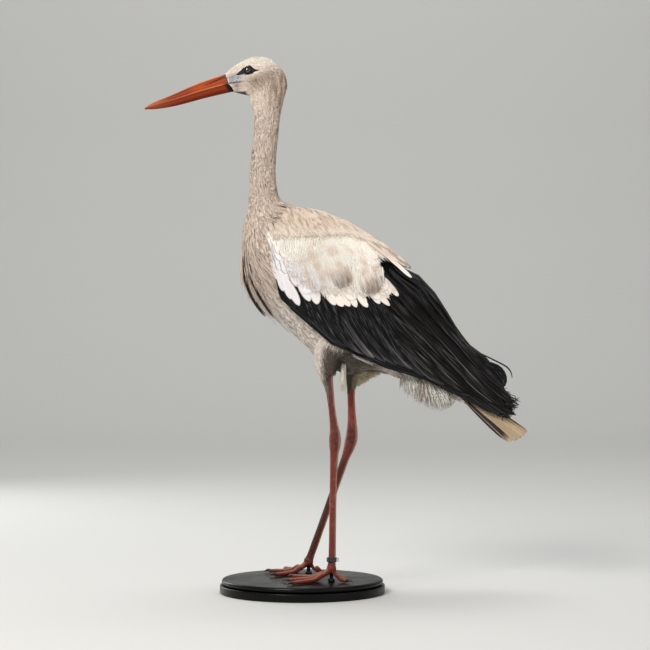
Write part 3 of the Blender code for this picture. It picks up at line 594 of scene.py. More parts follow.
def worked_out(source):
    """The points and the triangles of a working mesh after its modifiers. The mesh is removed."""
    shown = source.evaluated_get(bpy.context.evaluated_depsgraph_get())
    mesh = shown.to_mesh()
    mesh.calc_loop_triangles()
    points = np.empty(len(mesh.vertices) * 3, np.float32)
    mesh.vertices.foreach_get("co", points)
    rows = np.empty(len(mesh.loop_triangles) * 3, np.int32)
    mesh.loop_triangles.foreach_get("vertices", rows)
    shown.to_mesh_clear()
    bpy.data.objects.remove(source)
    return points.reshape(-1, 3), rows.reshape(-1, 3)


# %% Legs
DOWN = np.array((0.0, 0.0, -1.0))
# Centre points (x, y, z) and radii of the feathered thighs' flesh, from inside the belly down.
THIGHS = {"left": np.array([(.062, -.024, .47, .018), (.049, -.032, .435, .023),
                            (.043, -.0385, .406, .0155), (.0455, -.0415, .382, .0092),
                            (.0485, -.0427, .364, .0068)]),
          "right": np.array([(.106, .02, .46, .018), (.105, .028, .43, .024),
                             (.101, .036, .402, .0235), (.0925, .0415, .382, .012),
                             (.0886, .0445, .366, .0072)])}
LEG_TOP, LEG_RINGS, LEG_AROUND = .348, 200, 28
leg_lines, hubs, limb_parts = {}, {}, []
for side in ("left", "right"):
    rod_low, rod_high = box(f"rod_{side}")
    hub = hubs[side] = np.append((rod_low + rod_high)[:2] / 2, rod_high[2] + .01)
    names = [f"{part}_{side}" for part in ("thigh", "tibia", "hock", "tarsus")]
    measured = slices(names, DOWN, np.linspace(-LEG_TOP, -(hub[2] + .012), 40))
    line = leg_lines[side] = resample(np.vstack([THIGHS[side], measured, [*hub, .0078]]), LEG_RINGS)
    limb_parts.append(bare_object(f"leg_tube_{side}", tube(line[:, :3], line[:, 3], LEG_AROUND),
        tube_faces(LEG_RINGS, LEG_AROUND)))
    print(side, "leg", len(measured), "slices, hub", np.round(hub, 4))

# %% Feet
TOES = ("inner", "middle", "outer", "hind")
TOE_RINGS, TOE_AROUND, BALL_RINGS, ANKLE_RINGS = 90, 20, 12, 18
BASE_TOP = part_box("base_upper_disc")[1][2]
toe_lines = {}


def pads(share, angle):
    """Scutes and pads of a toe: 24 small ridges and three long swellings."""
    ridges = .07 * np.abs(np.sin(pi * share * 24)) * fade(.12, .2, share)
    return 1 + ridges + .05 * np.cos(TAU * share * 3)


def toe_line(side, toe, hub):
    """The measured line of a toe, from its hub to a little past the last slice."""
    claw_low, claw_high = box(f"claw_{side}_{toe}")
    heading = unit(((claw_low + claw_high) / 2 - hub) * (1, 1, 0))
    low, high = box(f"toe_{side}_{toe}")
    ends = [low @ heading, high @ heading, low[0] * heading[0] + high[1] * heading[1],
        high[0] * heading[0] + low[1] * heading[1]]
    levels = min(ends) + (max(ends) - min(ends)) * np.linspace(0, 1, 60)
    measured = slices([f"toe_{side}_{toe}"], heading, levels)[1:-1:5]
    past = measured[-1] + [*(heading * .003), -.0004]
    return resample(np.vstack([[*hub, .0058], measured, past]), TOE_RINGS)


for side, hub in hubs.items():
    shells = []
    for toe in TOES:
        line = toe_lines[side, toe] = toe_line(side, toe, hub)
        rings = tube(line[:, :3], line[:, 3], TOE_AROUND, pads)
        rings[..., 2] = np.maximum(rings[..., 2], BASE_TOP + .0003)
        shells.append(rings)
    ankle = leg_lines[side][-ANKLE_RINGS:]
    shells.append(tube(ankle[:, :3], ankle[:, 3], 24))
    rise = np.linspace(-.0085, .007, BALL_RINGS)
    ball_radii = .0086 * np.sqrt(np.clip(1 - (rise / .0095) ** 2, .05, 1))
    shells.append(tube(hub + rise[:, None] * (0, 0, 1.0), ball_radii, 24))
    starts = np.cumsum([0] + [shell[..., 0].size for shell in shells])
    faces = [rows for shell, start in zip(shells, starts) for rows in tube_faces(*shell.shape[:2], start)]
    foot = bare_object(f"foot_mass_{side}", np.concatenate([shell.reshape(-1, 3) for shell in shells]),
        faces)
    melt = foot.modifiers.new("melt", "REMESH")
    melt.mode, melt.voxel_size = "VOXEL", .0009
    soften = foot.modifiers.new("soften", "SMOOTH")
    soften.factor, soften.iterations = .5, 2
    points, rows = worked_out(foot)
    limb_parts.append(bare_object(f"foot_{side}_melted", points, [rows]))
    print(side, "foot", len(rows), "triangles")

# %% [markdown]
# ## One skin
# A bird has one skin from bill to claw. Separate meshes that only touch would show seams, so one
# exact union makes the closed surfaces of body, legs and feet a single one. It lies under the
# feather tips by the coat's depth, and sinks in round each eye, where the ball and the lids sit.

# %% The skin
EYE, EYE_RADIUS, SKIN_AROUND = np.array((-.0966, .0152, .9272)), .0078, 96
s_rows = np.concatenate([np.linspace(0, 7, 100), np.linspace(7, 12, 50)[1:],
    np.linspace(12, S_END, 110)[1:]])
s_skin, t_skin = np.meshgrid(s_rows, circle(SKIN_AROUND), indexing="ij")
skin_points, skin_out, _ = body_frame(s_skin, t_skin, coat_depth(s_skin))
from_eye = np.hypot(skin_points[..., 0] - EYE[0], skin_points[..., 2] - EYE[2])
sunk = .0035 * fade(.0078, .0055, from_eye) * (np.abs(skin_points[..., 1]) > .008)
core = bare_object("body_core", skin_points - skin_out * sunk[..., None],
    tube_faces(len(s_rows), SKIN_AROUND))
limbs = bpy.data.collections.new("limbs")
scene.collection.children.link(limbs)
for part in limb_parts:
    scene.collection.objects.unlink(part)
    limbs.objects.link(part)
union = core.modifiers.new("one_skin", "BOOLEAN")
union.operation, union.operand_type, union.collection, union.solver = "UNION", "COLLECTION", limbs, "EXACT"
points, rows = worked_out(core)
for part in limb_parts:
    bpy.data.objects.remove(part)
print("skin", len(points), "points", len(rows), "triangles")

# %% [markdown]
# The legs are bare: dull red-brown skin in small net-like scales, pinker above the hock, dark and
# crinkled on it, paler along the tops of the toes. Their back and front sides are painted paler as
# highlight, and the far leg darker low down as shade. Scales this fine need no geometry: they are a
# cell pattern in the object's space, raised by bump, and the colours are painted from where a
# point lies on the leg.

# %% Leg finish
def leg_colour(points, out):
    """Linear colour of the bare legs, from the height and which way the surface faces: the sides
    that face back or front get painted highlight, and the far leg's lower part painted shade.
    """
    x, y, z = points.T
    cloudy, fine = waves(points, .018, 11), waves(points, .006, 12)
    toe = fade(.062, .045, z)
    upper = np.where(y[:, None] < 0, srgb(116, 50, 40), srgb(172, 70, 58))
    hock = fade(.3, .286, z) * fade(.238, .255, z)
    return glazed(srgb(138, 58, 43), (upper, .9 * fade(.27, .31, z)),
        (srgb(176, 96, 80), .7 * fade(.3, 1.0, cloudy) * fade(.1, .14, z)),
        (srgb(98, 44, 40), hock * fade(-.6, .5, fine + .5 * cloudy)),
        (srgb(112, 70, 84), .7 * fade(.346, .36, z) * (y < 0)),
        # Painted highlight: paler on the sides that face back and front, above the toes.
        (srgb(240, 184, 158), .75 * fade(.45, .82, out[:, 0]) * fade(.045, .065, z)),
        (srgb(206, 140, 118), .45 * fade(.6, .95, -out[:, 0]) * fade(.08, .1, z)),
        # Painted shade: the far leg is darker low down, away from the side that faces back.
        (srgb(66, 28, 20), .8 * (y > 0) * fade(.25, .22, z) * fade(.55, .3, out[:, 0])),
        (srgb(134, 56, 40), .8 * toe), (srgb(214, 142, 114), .65 * toe * fade(.3, .95, out[:, 2])))


leg_finish, tree, shader = new_finish("leg_scales", .5, coat=.03, specular=.3)
cells = node(tree, "ShaderNodeTexVoronoi", {"Vector": node(tree, "ShaderNodeTexCoord").outputs["Object"],
    "Scale": 330.0, "Randomness": .8}, feature="DISTANCE_TO_EDGE")
scale_rise = mapped(tree, cells.outputs["Distance"], 0.0, .22)
grimy = use(tree, clouds, Paint=stored(tree, "paint"), Size=.006, Contrast=.55)
coloured(tree, shader, dimmed(tree, grimy["Colour"], mapped(tree, scale_rise, 0.0, 1.0, .62, 1.0)))
bump(tree, shader, scale_rise, .7, .0006)
skin_finish = feather_finish("feathered_skin", .9, 0.0, 0.0, 0.0, 0.0)


# %% Skin piece
def feather_edge(spots):
    """The height where a leg's feathers end: on the left leg they run down its front as a narrow
    strip, on the right one they end almost level."""
    line = leg_lines["left"][::-1]
    middle, radius = (np.interp(spots[..., 2], line[:, 2], line[:, k]) for k in (0, 3))
    left = .337 + .063 * fade(-.75, -.1, (spots[..., 0] - middle) / radius)
    return np.where(spots[..., 1] < 0, left, .367 + .3 * (spots[..., 0] - .0925))


def below_feathers(spots):
    """Whether spots lie on the bare part of a leg."""
    return (spots[:, 2] < feather_edge(spots)) & (spots[:, 0] < .15)


triangle = points[rows]
face_out = unit(np.cross(triangle[:, 1] - triangle[:, 0], triangle[:, 2] - triangle[:, 0]))
point_out = np.zeros_like(points)
for k in range(3):
    np.add.at(point_out, rows[:, k], face_out)
bare = below_feathers(points)[:, None]
FLESH = ("head", "neck_", "trunk", "thigh_", "tibia_", "hock_", "tarsus_", "foot_", "toe_")
# Where the skin shows between feathers it is painted the plumage's colour at 85%, as painted shade under
# the coat.
skin = build("stork_skin", points, [rows], skin_finish, "body_feathers",
    [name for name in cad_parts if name.startswith(FLESH)],
    np.where(bare, leg_colour(points, unit(point_out)), plumage(points) * .85), np.zeros_like(points))
skin.data.materials.append(leg_finish)
skin.data.polygons.foreach_set("material_index", below_feathers(triangle.mean(1)).astype(np.int32))
skin_tree = BVHTree.FromPolygons(points.tolist(), rows.tolist())


def skin_height(x, z, sign, missed):
    """How far out the skin lies at (x, z), on the side that sign gives."""
    hit = skin_tree.ray_cast(Vector((x, sign * .2, z)), Vector((0, -sign, 0)))[0]
    return abs(hit.y) if hit else missed


# %% [markdown]
# ## Eyes and lids
# The eye is a dark brown ball under a clear, wet coat, in a spindle of bare black skin. A painted
# dot would look flat, so the ball is real and the lids are a ring round it: their inner edge hugs
# the ball, they swell into a soft rim, then spread out and tuck under the first feathers.

# %% Eyes
BALL_RINGS, BALL_AROUND, LID_RINGS, LID_AROUND = 40, 48, 16, 120
eye_finish, tree, shader = new_finish("eye_glass", .06, coat=1.0, coat_roughness=.02, specular=.6)
off_axis = mapped(tree, stored(tree, "iris", "Fac"), .45, .62)
iris = node(tree, "ShaderNodeMix", {0: off_axis, 6: (.0015, .0013, .0012, 1), 7: (.045, .03, .022, 1)},
    data_type="RGBA")
coloured(tree, shader, iris.outputs[2])
lid_finish, tree, shader, wrinkles = cloudy_finish("lid_skin", .6, (.01, .009, .01), .0016, .8,
    specular=.25)
bump(tree, shader, wrinkles, .8, .0004)


def ball(centre, radius, pole):
    """A sphere whose pole points along pole: radius times the sine and cosine of the angle."""
    angle = np.linspace(.02, pi - .02, BALL_RINGS)
    first = unit(np.cross(pole, (0, 0, 1.0)))
    second = np.cross(pole, first)
    turn = circle(BALL_AROUND)
    ring = np.cos(turn)[:, None] * first + np.sin(turn)[:, None] * second
    return centre + radius * (np.cos(angle)[:, None, None] * pole + np.sin(angle)[:, None, None] * ring)


def lids(sign):
    """The lid ring: share runs from its inner edge, an oval opening, out to the patch's edge. Its
    height is the ball's near the eye and the skin's beyond, with a rim raised at a tenth."""
    turn = circle(LID_AROUND)
    share = np.linspace(0, 1, LID_RINGS)[:, None]
    open_x, open_z = .0053 * np.cos(turn), .0047 * np.sin(turn) * (1 - .18 * np.cos(turn) ** 2)
    reach = np.linspace(.001, .03, 200)[:, None]
    within = eye_patch(EYE[0] + reach * np.cos(turn), EYE[2] + reach * np.sin(turn)) < 1.25
    edge = reach[within.sum(0).clip(1, 199), 0] + .0006
    x = open_x + (edge * np.cos(turn) - open_x) * share ** 1.3
    z = open_z + (edge * np.sin(turn) - open_z) * share ** 1.3
    ground = np.array([[skin_height(EYE[0] + a, EYE[2] + b, sign, .015) for a, b in zip(*row)]
        for row in zip(x, z)])
    off = np.hypot(x, z)
    over_ball = EYE[1] + np.sqrt(np.maximum(EYE_RADIUS ** 2 - off ** 2, 0)) + .0002
    raised = ground + .0011 * (1 - share) + .0002
    y = np.where(off < .007, over_ball, np.maximum(over_ball, raised))
    y = np.maximum(y, raised * fade(.0056, .007, off))
    y += .0007 * np.exp(-((share - .1) / .07) ** 2) - .0012 * fade(.88, 1.0, share)
    rim = np.stack([EYE[0] + x, sign * y, EYE[2] + z], -1)
    return np.concatenate([rim[::-1], rim - (0, sign * .001, 0)])


for side, sign in (("left", -1), ("right", 1)):
    centre, pole = EYE * (1, sign, 1), unit(np.array((-.12, sign * 1.0, .02)))
    rings = ball(centre, EYE_RADIUS, pole)
    eye = build(f"eyeball_{side}", rings, tube_faces(BALL_RINGS, BALL_AROUND), eye_finish, "eye_dark",
        [f"eye_{side}"])
    off = np.arccos(np.clip(unit(rings.reshape(-1, 3) - centre) @ pole, -1, 1))
    eye.data.attributes.new("iris", "FLOAT", "POINT").data.foreach_set("value", off.astype(np.float32))
    build(f"eyelids_{side}", lids(sign), tube_faces(2 * LID_RINGS, LID_AROUND, looped=True), lid_finish,
        "head_feathers")

# %% [markdown]
# ## Bill
# Two horn halves meet along the gape line, and the upper one carries a slit nostril. A stretched
# cone would lack the flat sides and the ridge, so each half is lofted from half-round sections,
# narrowed at the lip and pressed in along the slit. Streaks run along the horn, the gape line is
# pale, a painted highlight runs along the upper ridge, the slit is painted near-black as shade,
# and the lower half turns black at its base.

# %% Bill
# (culmen x, z, gape x, z, keel x, z, half width) from the base to the tip
BILL = np.array([(-.1385, .922, -.1318, .904, -.1258, .8908, .0103),
                 (-.186, .9055, -.179, .8915, -.172, .88, .0078),
                 (-.2345, .8843, -.227, .8766, -.2215, .8668, .0052),
                 (-.264, .8722, -.26, .8668, -.256, .8606, .0033),
                 (-.2815, .8618, -.281, .8606, -.28, .8594, .001)])
BILL_ROWS, BILL_AROUND = 150, 72
horn_finish, tree, shader = new_finish("bill_horn", .5, coat=.01, coat_roughness=.25, specular=.12)
grain = use(tree, barbs, Paint=stored(tree, "paint"), Streaks=3.0, Across=1.0, Contrast=.28, Shaft=0.0)
coloured(tree, shader, use(tree, clouds, Paint=grain["Colour"], Size=.004, Contrast=.35)["Colour"])
bump(tree, shader, grain["Height"], .35, .0003)


def bill_colour(share, height, slit, upper):
    """Orange horn: share runs from base to tip and height from the gape line to the outer edge. A
    pale painted highlight runs along the upper ridge, and the slit is painted near-black as shade.
    """
    tones = ((184, 72, 18), (148, 54, 18), (198, 112, 74)) if upper else ((130, 42, 12), (124, 40, 14),
        (158, 76, 44))
    grain = fade(.1, .9, np.sin(24 * height + 7 * share)) * fade(.36, .06, share)
    if upper:
        # The pale line along the upper half's ridge is a painted highlight.
        ridge = (srgb(232, 146, 108), .65 * fade(.82, .97, height))
        base = (srgb(110, 78, 68), .5 * fade(.07, .005, share))
    else:
        ridge = (srgb(190, 84, 46), .4 * np.exp(-((height - .42) / .13) ** 2) * fade(.75, .5, share))
        base = (srgb(26, 16, 16), fade(.055, .02, share + .02 * height))
    gape_line = fade(.16, .06, height) * fade(0.0, .08, share) * fade(.75, .5, share) * upper
    return glazed(srgb(*tones[0]), (srgb(*tones[1]), fade(.24, .4, share)),
        (srgb(*tones[2]), .8 * fade(.48, .78, share)), (srgb(104, 26, 12), .5 * grain), ridge,
        (srgb(244, 150, 98), .75 * gape_line), (srgb(40, 16, 12), slit * .95), base)


def bill_half(name, outer, stands_for):
    """Sections along the bill: across is the half width times cos, outwards the height times sin.
    outer is the column of BILL where the outer edge starts."""
    upper = outer == 0
    table = smooth_rows(BILL, np.linspace(0, len(BILL) - 1, BILL_ROWS))
    angle = np.linspace(0, pi, BILL_AROUND)
    share, height = np.meshgrid(np.linspace(0, 1, BILL_ROWS), np.sin(angle) ** (.92 if upper else .8),
        indexing="ij")
    slit = np.exp(-((height - .74 + 1.3 * share) / .075) ** 2) * fade(.24, .12, share) * upper
    width = table[:, 6:7] * np.cos(angle) * (1 + .1 * np.sin(angle) ** 2)
    width = width * (1 - .05 * np.exp(-(height / .1) ** 2)) * (1 - .1 * slit)
    gape_x, gape_z, edge_x, edge_z = (table[:, k:k + 1] for k in (2, 3, outer, outer + 1))
    points = np.stack([gape_x + (edge_x - gape_x) * height, width,
        gape_z + (edge_z - gape_z) * height + (.00012 if upper else -.00012)], -1)
    # The first section is repeated a little way inside the head.
    points = np.concatenate([points[:1] + (.004, 0, 0), points])
    share, height, slit = (np.vstack([rows[:1], rows]) for rows in (share, height, slit))
    vane = np.stack([height * 5, height * 6 * np.sign(points[..., 1]), share * .02 + .2 * upper], -1)
    build(name, points, tube_faces(BILL_ROWS + 1, BILL_AROUND), horn_finish, "bill_horn", stands_for,
        bill_colour(share, height, slit, upper), vane)


bill_half("bill_top", 0, ["bill_upper"])
bill_half("bill_bottom", 4, ["bill_lower"])

# %% [markdown]
# ## Base, rods, claws and ring
# The stand is two turned discs in satin black, the upper one with a rounded rim that draws a
# bright line, and a short steel rod holds up each foot. Cylinders with a bevel would do as well,
# but a profile carried round the axis at a fine step gives the rim its true curve. The claws are
# short hooked tubes, and the ring is a closed band with a small plate that the workshop made.

# %% Turned pieces
def turned(name, profile, centre, finish, slot, stands_for, around=160, looped=False):
    """A profile of (radius, height) rows turned about an upright axis."""
    angle = circle(around)
    radius, height = np.array(profile).T[:, :, None]
    points = np.stack([centre[0] + radius * np.cos(angle), centre[1] + radius * np.sin(angle),
        height + 0 * angle], -1)
    return build(name, points, tube_faces(len(profile), around, looped=looped), finish, slot, stands_for)


def corner(radius, height, size, start, end, count=8):
    """A quarter of a rounded edge of the given size, as (radius, height) rows."""
    angle = np.radians(np.linspace(start, end, count))
    return [(radius + size * cos(a), height + size * sin(a)) for a in angle]


# %% Base
base_finish, tree, shader, dust = cloudy_finish("satin_black", .3, (.0025, .0025, .0025), .05, .5, coat=.05,
    coat_roughness=.12, specular=.14)
tree.links.new(mapped(tree, dust, .3, .7, .24, .42), shader.inputs["Roughness"])
lower_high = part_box("base_lower_disc")[1]
upper_low, upper_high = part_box("base_upper_disc")
R1, R2, EDGE, RIM = lower_high[0], upper_high[0], .0018, .0045
turned("base_foot_disc", [(R1 * .5, 0.0)] + corner(R1 - EDGE, EDGE, EDGE, -90, 0)
    + corner(R1 - EDGE, lower_high[2] - EDGE, EDGE, 0, 90) + [(R1 * .5, lower_high[2])], (0, 0),
    base_finish, "base_black", ["base_lower_disc"])
turned("base_top_disc", [(R2 * .5, upper_low[2]), (R2 - .0034, upper_low[2])]
    + corner(R2 - .0016, upper_low[2] + .0034, .001, -60, 0, 4)
    + corner(R2 - RIM, BASE_TOP - RIM, RIM, 5, 90, 10) + [(R2 * .5, BASE_TOP)], (0, 0), base_finish,
    "base_black", ["base_upper_disc"])

# %% Rods and claws
rod_finish, *_ = cloudy_finish("blued_rod", .3, (.045, .05, .06), .004, .6, metallic=.9)
claw_finish, *_ = cloudy_finish("claw_horn", .35, (.055, .03, .022), .002, .7, coat=.1)
COLLAR, ROD, LEDGE, CLAW_RINGS, CLAW_AROUND = .005, .0034, .0012, 22, 14
for side, hub in hubs.items():
    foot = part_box(f"rod_{side}")[0][2]
    turned(f"mount_rod_{side}", corner(COLLAR, foot + LEDGE, LEDGE, -90, 0, 4)
        + corner(COLLAR, foot + .0042, LEDGE, 0, 90, 4) + [(ROD, foot + .0056), (ROD, hub[2] - .0062)],
        hub[:2], rod_finish, "rod_metal", [f"rod_{side}"], around=40)
    for toe in TOES:
        line = toe_lines[side, toe][:, :3]
        heading = unit((line[-1] - line[-12]) * (1, 1, 0))
        share = np.linspace(0, 1, CLAW_RINGS)[:, None]
        rise = .0016 * np.sin(pi * share) - .0022 * share ** 2
        hook = line[-1] + heading * (.0135 * share - .002) - DOWN * rise
        rings = tube(hook, .003 * (1 - share[:, 0]) ** .65 + .0002, CLAW_AROUND)
        rings[..., 2] = np.maximum(rings[..., 2], BASE_TOP + .0002)
        build(f"claw_horn_{side}_{toe}", rings, tube_faces(CLAW_RINGS, CLAW_AROUND), claw_finish,
            "claw_horn", [f"claw_{side}_{toe}"])

# %% Leg ring
ring_finish, *_ = cloudy_finish("ring_blue", .3, (.006, .01, .035), .003, .5, coat=.4)
silver_finish, *_ = cloudy_finish("plate_silver", .28, (.8, .8, .82), .0015, .3, metallic=1.0)
ring_low, ring_high = box("leg_ring")
middle, (outside, _, half) = (ring_low + ring_high) / 2, (ring_high - ring_low) / 2
ROUNDED, WALL = .0006, .0022
turned("marking_ring", corner(outside - ROUNDED, middle[2] + half - ROUNDED, ROUNDED, 0, 90, 4)
    + [(outside - WALL, middle[2] + half), (outside - WALL, middle[2] - half)]
    + corner(outside - ROUNDED, middle[2] - half + ROUNDED, ROUNDED, -90, 0, 4), middle[:2], ring_finish,
    "ring_blue", ["leg_ring"], around=64, looped=True)
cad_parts["leg_ring_plate"].data.materials[0] = silver_finish

# %% [markdown]
# ## Feathers as solid blades
# A real feather is a flat vane on a shaft. Particle hair would be quick but has no width, so every
# feather and tuft here is a closed blade with a lens-shaped section. Its centre line runs on a
# surface, from just inside the skin at its root to the coat's face at its tip, so neighbours
# overlap like slates. Places come from an even two-way sequence, stretched by area and density.

# %% Places and paths on a surface
P_CELLS, Q_CELLS = 240, 144


def scatter(count, surface, p_range, q_range, density, seed=0):
    """Even places (p, q) on a surface: multiples of two irrational steps, stretched so that each
    patch gets its share of area times density."""
    dice = seeded(100 + seed)
    p_edge, q_edge = np.linspace(*p_range, P_CELLS + 1), np.linspace(*q_range, Q_CELLS + 1)
    p, q = np.meshgrid((p_edge[1:] + p_edge[:-1]) / 2, (q_edge[1:] + q_edge[:-1]) / 2, indexing="ij")
    spots = surface(p, q)
    area = np.linalg.norm(np.cross(np.gradient(spots, axis=0), np.gradient(spots, axis=1)), axis=-1)
    weight = area * density(spots) + 1e-15
    rows = np.concatenate([[0], np.cumsum(weight.sum(1))]) / weight.sum()
    steps = (np.cumsum(weight, 1) / weight.sum(1, keepdims=True) + np.arange(P_CELLS)[:, None]).ravel()
    order = np.arange(count) + .37 * seed
    down, across = (.5 + order * .7548776662) % 1, (.5 + order * .569840291) % 1
    row = np.clip(np.searchsorted(rows, down) - 1, 0, P_CELLS - 1)
    cell = np.clip(np.searchsorted(steps, row + across), 0, steps.size - 1) % Q_CELLS
    return np.interp(down, rows, p_edge), q_edge[cell] + dice.random(count) * (q_edge[1] - q_edge[0])


def everywhere(spots):
    """The same density all over."""
    return np.ones(spots.shape[:-1])


def column(value, count):
    """One number, or one for each blade, as a column."""
    return np.broadcast_to(value, count)[:, None]


def follow(surface, p, q, length, drift, u, step=.02):
    """Parameters along feathers that leave (p, q) along the surface: length * u, turned by drift."""
    here = surface(p, q)
    speed_p = np.linalg.norm(surface(p + step, q) - here, axis=-1) / step
    speed_q = np.linalg.norm(surface(p, q + step) - here, axis=-1) / step
    reach = column(length, len(p)) * u
    return (p[:, None] + reach * (np.cos(drift) / speed_p)[:, None],
        q[:, None] + reach * (np.sin(drift) / speed_q)[:, None])


def facing(surface, p, q, deep):
    """The surface's unit normal, on the side that depth leads away from."""
    step, dip = 1e-3, 5e-4
    across = surface(p, q + step, deep) - surface(p, q - step, deep)
    square = unit(np.cross(surface(p + step, q, deep) - surface(p - step, q, deep), across))
    away = surface(p, q, deep - dip) - surface(p, q, deep + dip)
    return square * np.where((square * away).sum(-1, keepdims=True) < 0, -1.0, 1.0)


def on_surface(surface, p, q, depth, lift, u):
    """Centre points and outward directions: depth fades from the root to the tip as
    (1 - u)^1.3, and the tip stands off by lift * u^2."""
    deep = column(depth, len(p)) * (1 - u) ** 1.3 - column(lift, len(p)) * u ** 2
    return surface(p, q, deep), facing(surface, p, q, deep)


# %% Blades
def blades(centre, out, half, thick, profile, root_map, ring=4, camber=0.0, roll=0.0, seed=0):
    """Closed blades round centre lines. At u along and angle w round, a point stands at centre
    + side * half * f(u) * cos w + out * (thick * sqrt(f(u)) * sin w - camber * (half * f(u) * cos w)^2)."""
    dice = seeded(200 + seed)
    u, f = np.array(profile).T
    count, stations = centre.shape[:2]
    along = unit(np.gradient(centre, axis=1))
    side = unit(np.cross(out, along))
    out = np.cross(along, side)
    rolled = column(roll, count)[..., None]
    side, out = (side * np.cos(rolled) + out * np.sin(rolled), out * np.cos(rolled) - side * np.sin(rolled))
    w = np.arange(ring) / ring * TAU
    wide = (column(half, count) * f)[..., None] * np.cos(w)
    high = (column(thick, count) * np.sqrt(f))[..., None] * np.sin(w) - camber * wide ** 2
    points = centre[:, :, None] + wide[..., None] * side[:, :, None] + high[..., None] * out[:, :, None]
    shape = (count, stations, ring)
    number = dice.random(count)[:, None, None]
    share, cross, number = (np.broadcast_to(v, shape) for v in (u[None, :, None], np.cos(w), number))
    patch = np.stack([share - .5, cross / 2], -1) * .003
    return {"points": points, "vane": np.stack([share, cross, number], -1),
        "bake": root_map[:, None, None] + patch}


def shaded(part, colour, root=.72, spread=.06, seed=0):
    """Paints blades with one colour, or one each, or one each along their length. Each blade is a
    little lighter or darker than its colour, and painted darker towards its root, as shade under
    the blades that overlap it."""
    dice = seeded(300 + seed)
    colour = np.reshape(colour, (1 if np.ndim(colour) == 1 else len(colour), -1, 1, 3))
    own = colour * (1 + spread * dice.normal(size=(len(part["points"]), 1, 1, 1)))
    # Painted shade: each blade darkens towards its root, where the blades over it cover it.
    tone = root + (1 - root) * part["vane"][..., 0] ** .7
    part["paint"] = np.clip(own * tone[..., None], 0.0, .95)
    return part


def coat_piece(name, parts, finish, slot, stands_for=(), most=190000):
    """Joins blades into meshes, as few as the limit on triangles allows."""
    piles, total = [[]], 0
    for part in parts:
        count, stations, ring = part["points"].shape[:3]
        each = (stations - 1) * ring * 2 + 2 * (ring - 2)
        start = 0
        while start < count:
            fits = min(count - start, (most - total) // each)
            if fits:
                piles[-1].append({key: value[start:start + fits] for key, value in part.items()})
                start, total = start + fits, total + fits * each
            else:
                piles.append([])
                total = 0
    for k, pile in enumerate(piles):
        faces, first = [], 0
        for part in pile:
            count, stations, ring = part["points"].shape[:3]
            starts = first + np.arange(count) * stations * ring
            for rows in tube_faces(stations, ring):
                faces.append((rows[None] + starts[:, None, None]).reshape(-1, rows.shape[1]))
            first += count * stations * ring
        joined = {key: np.concatenate([part[key].reshape(-1, part[key].shape[-1]) for part in pile])
            for key in ("points", "vane", "bake", "paint")}
        build(f"{name}_{k + 1}" if len(piles) > 1 else name, joined["points"], faces, finish, slot,
            stands_for if k == 0 else (), joined["paint"], joined["vane"], joined["bake"])


# %% Body tufts
# Outlines of the blades: (share along, share of the half width)
TUFT = ((0, .55), (.35, 1.0), (.75, .75), (1, .1))
WISP = ((0, .6), (.4, 1.0), (.8, .6), (1, .08))
ROUND = ((0, .4), (.3, .9), (.65, 1.0), (.9, .72), (1, .18))
BROAD = ((0, .4), (.2, .8), (.5, 1.0), (.75, .95), (.92, .6), (1, .2))
LOCK = ((0, .55), (.2, .85), (.4, 1.0), (.6, .9), (.8, .6), (1, .08))


def stations(profile):
    """The shares along a blade at which its outline is given."""
    return np.array(profile)[:, 0]


def body_map(s, t):
    """The body's own unwrap: s runs along it and t round it."""
    return np.stack([.02 + .96 * s / (S_END + 1), .02 + .96 * (t % TAU) / TAU], -1)


def body_tufts(count, s_range, t_range, density, length, half, thick, lift, profile, wander=.1, root=.72,
        spread=.06, seed=0):
    """Tufts over the body. Length and half width are functions of s; lift is (least, most)."""
    dice = seeded(400 + seed)
    s, t = scatter(count, body, s_range, t_range, density, seed)
    u = stations(profile)
    size = dice.uniform(.8, 1.25, count)
    p, q = follow(body, s, t, length(s) * size, wander * dice.normal(size=count), u)
    keep = ~in_patch(body(p[:, 2:], q[:, 2:]), .97).any(1)
    s, t, p, q, size = (value[keep] for value in (s, t, p, q, size))
    centre, out = on_surface(body, p, q, coat_depth(s) + .0004, dice.uniform(*lift, len(s)), u)
    made = blades(centre, out, half(s) * size, thick, profile, body_map(s, t),
        roll=.25 * dice.normal(size=len(s)), seed=seed)
    return shaded(made, plumage(body(p[:, 2], q[:, 2])), root, spread, seed)


# %% [markdown]
# ### Head and neck
# The smallest feathers stand on the face, and they grow longer down the neck, where they lie as
# fine streaks. One even fur would look like felt, so length and width grow with the way down the
# bird. None may fall across the bare patch, so tufts that would reach it are left out.

# %% Head and neck coat
def face_density(spots):
    """None on the bare patch, and nearly twice as many before the eye as behind it."""
    return np.where(in_patch(spots, 1.05), 0.0, 1.0) * np.where(spots[..., 0] < -.09, 1.9, 1.0)


coat_piece("coat_head", [body_tufts(6700, (0, 7), (0, TAU), face_density,
    ramp((0, .0042), (2, .0056), (4, .0082), (7, .012)),
    ramp((0, .0006), (2, .0008), (4, .001), (7, .0012)), .00022, (-.0002, .0006), TUFT, wander=.16,
    root=.93, spread=.06, seed=1)], face_finish, "head_feathers")
coat_piece("coat_neck", [body_tufts(6700, (6.2, 12.6), (0, TAU), everywhere,
    ramp((6, .011), (9, .017), (12.6, .024)), ramp((6, .0011), (9, .0012), (12.6, .0017)), .00032,
    (-.0003, .001), TUFT, wander=.1, root=.76, spread=.08, seed=2)], soft_finish, "neck_feathers")

# %% [markdown]
# ### The folded wing's form
# A folded wing is a smooth shell that roofs the flank from the wrist to beyond the tail's root.
# It could be modelled feather by feather in space, but it is far easier to steer on a plane: its
# outlines are lines b over a, and one function bends that plane round the body.

# %% Wing plane
# The folded wing in its own plane: a runs from the wrist to the tip and b across, downwards.
WRIST, PITCH = np.array((-.0615, .633)), radians(34.2)
TUCK = radians(128)


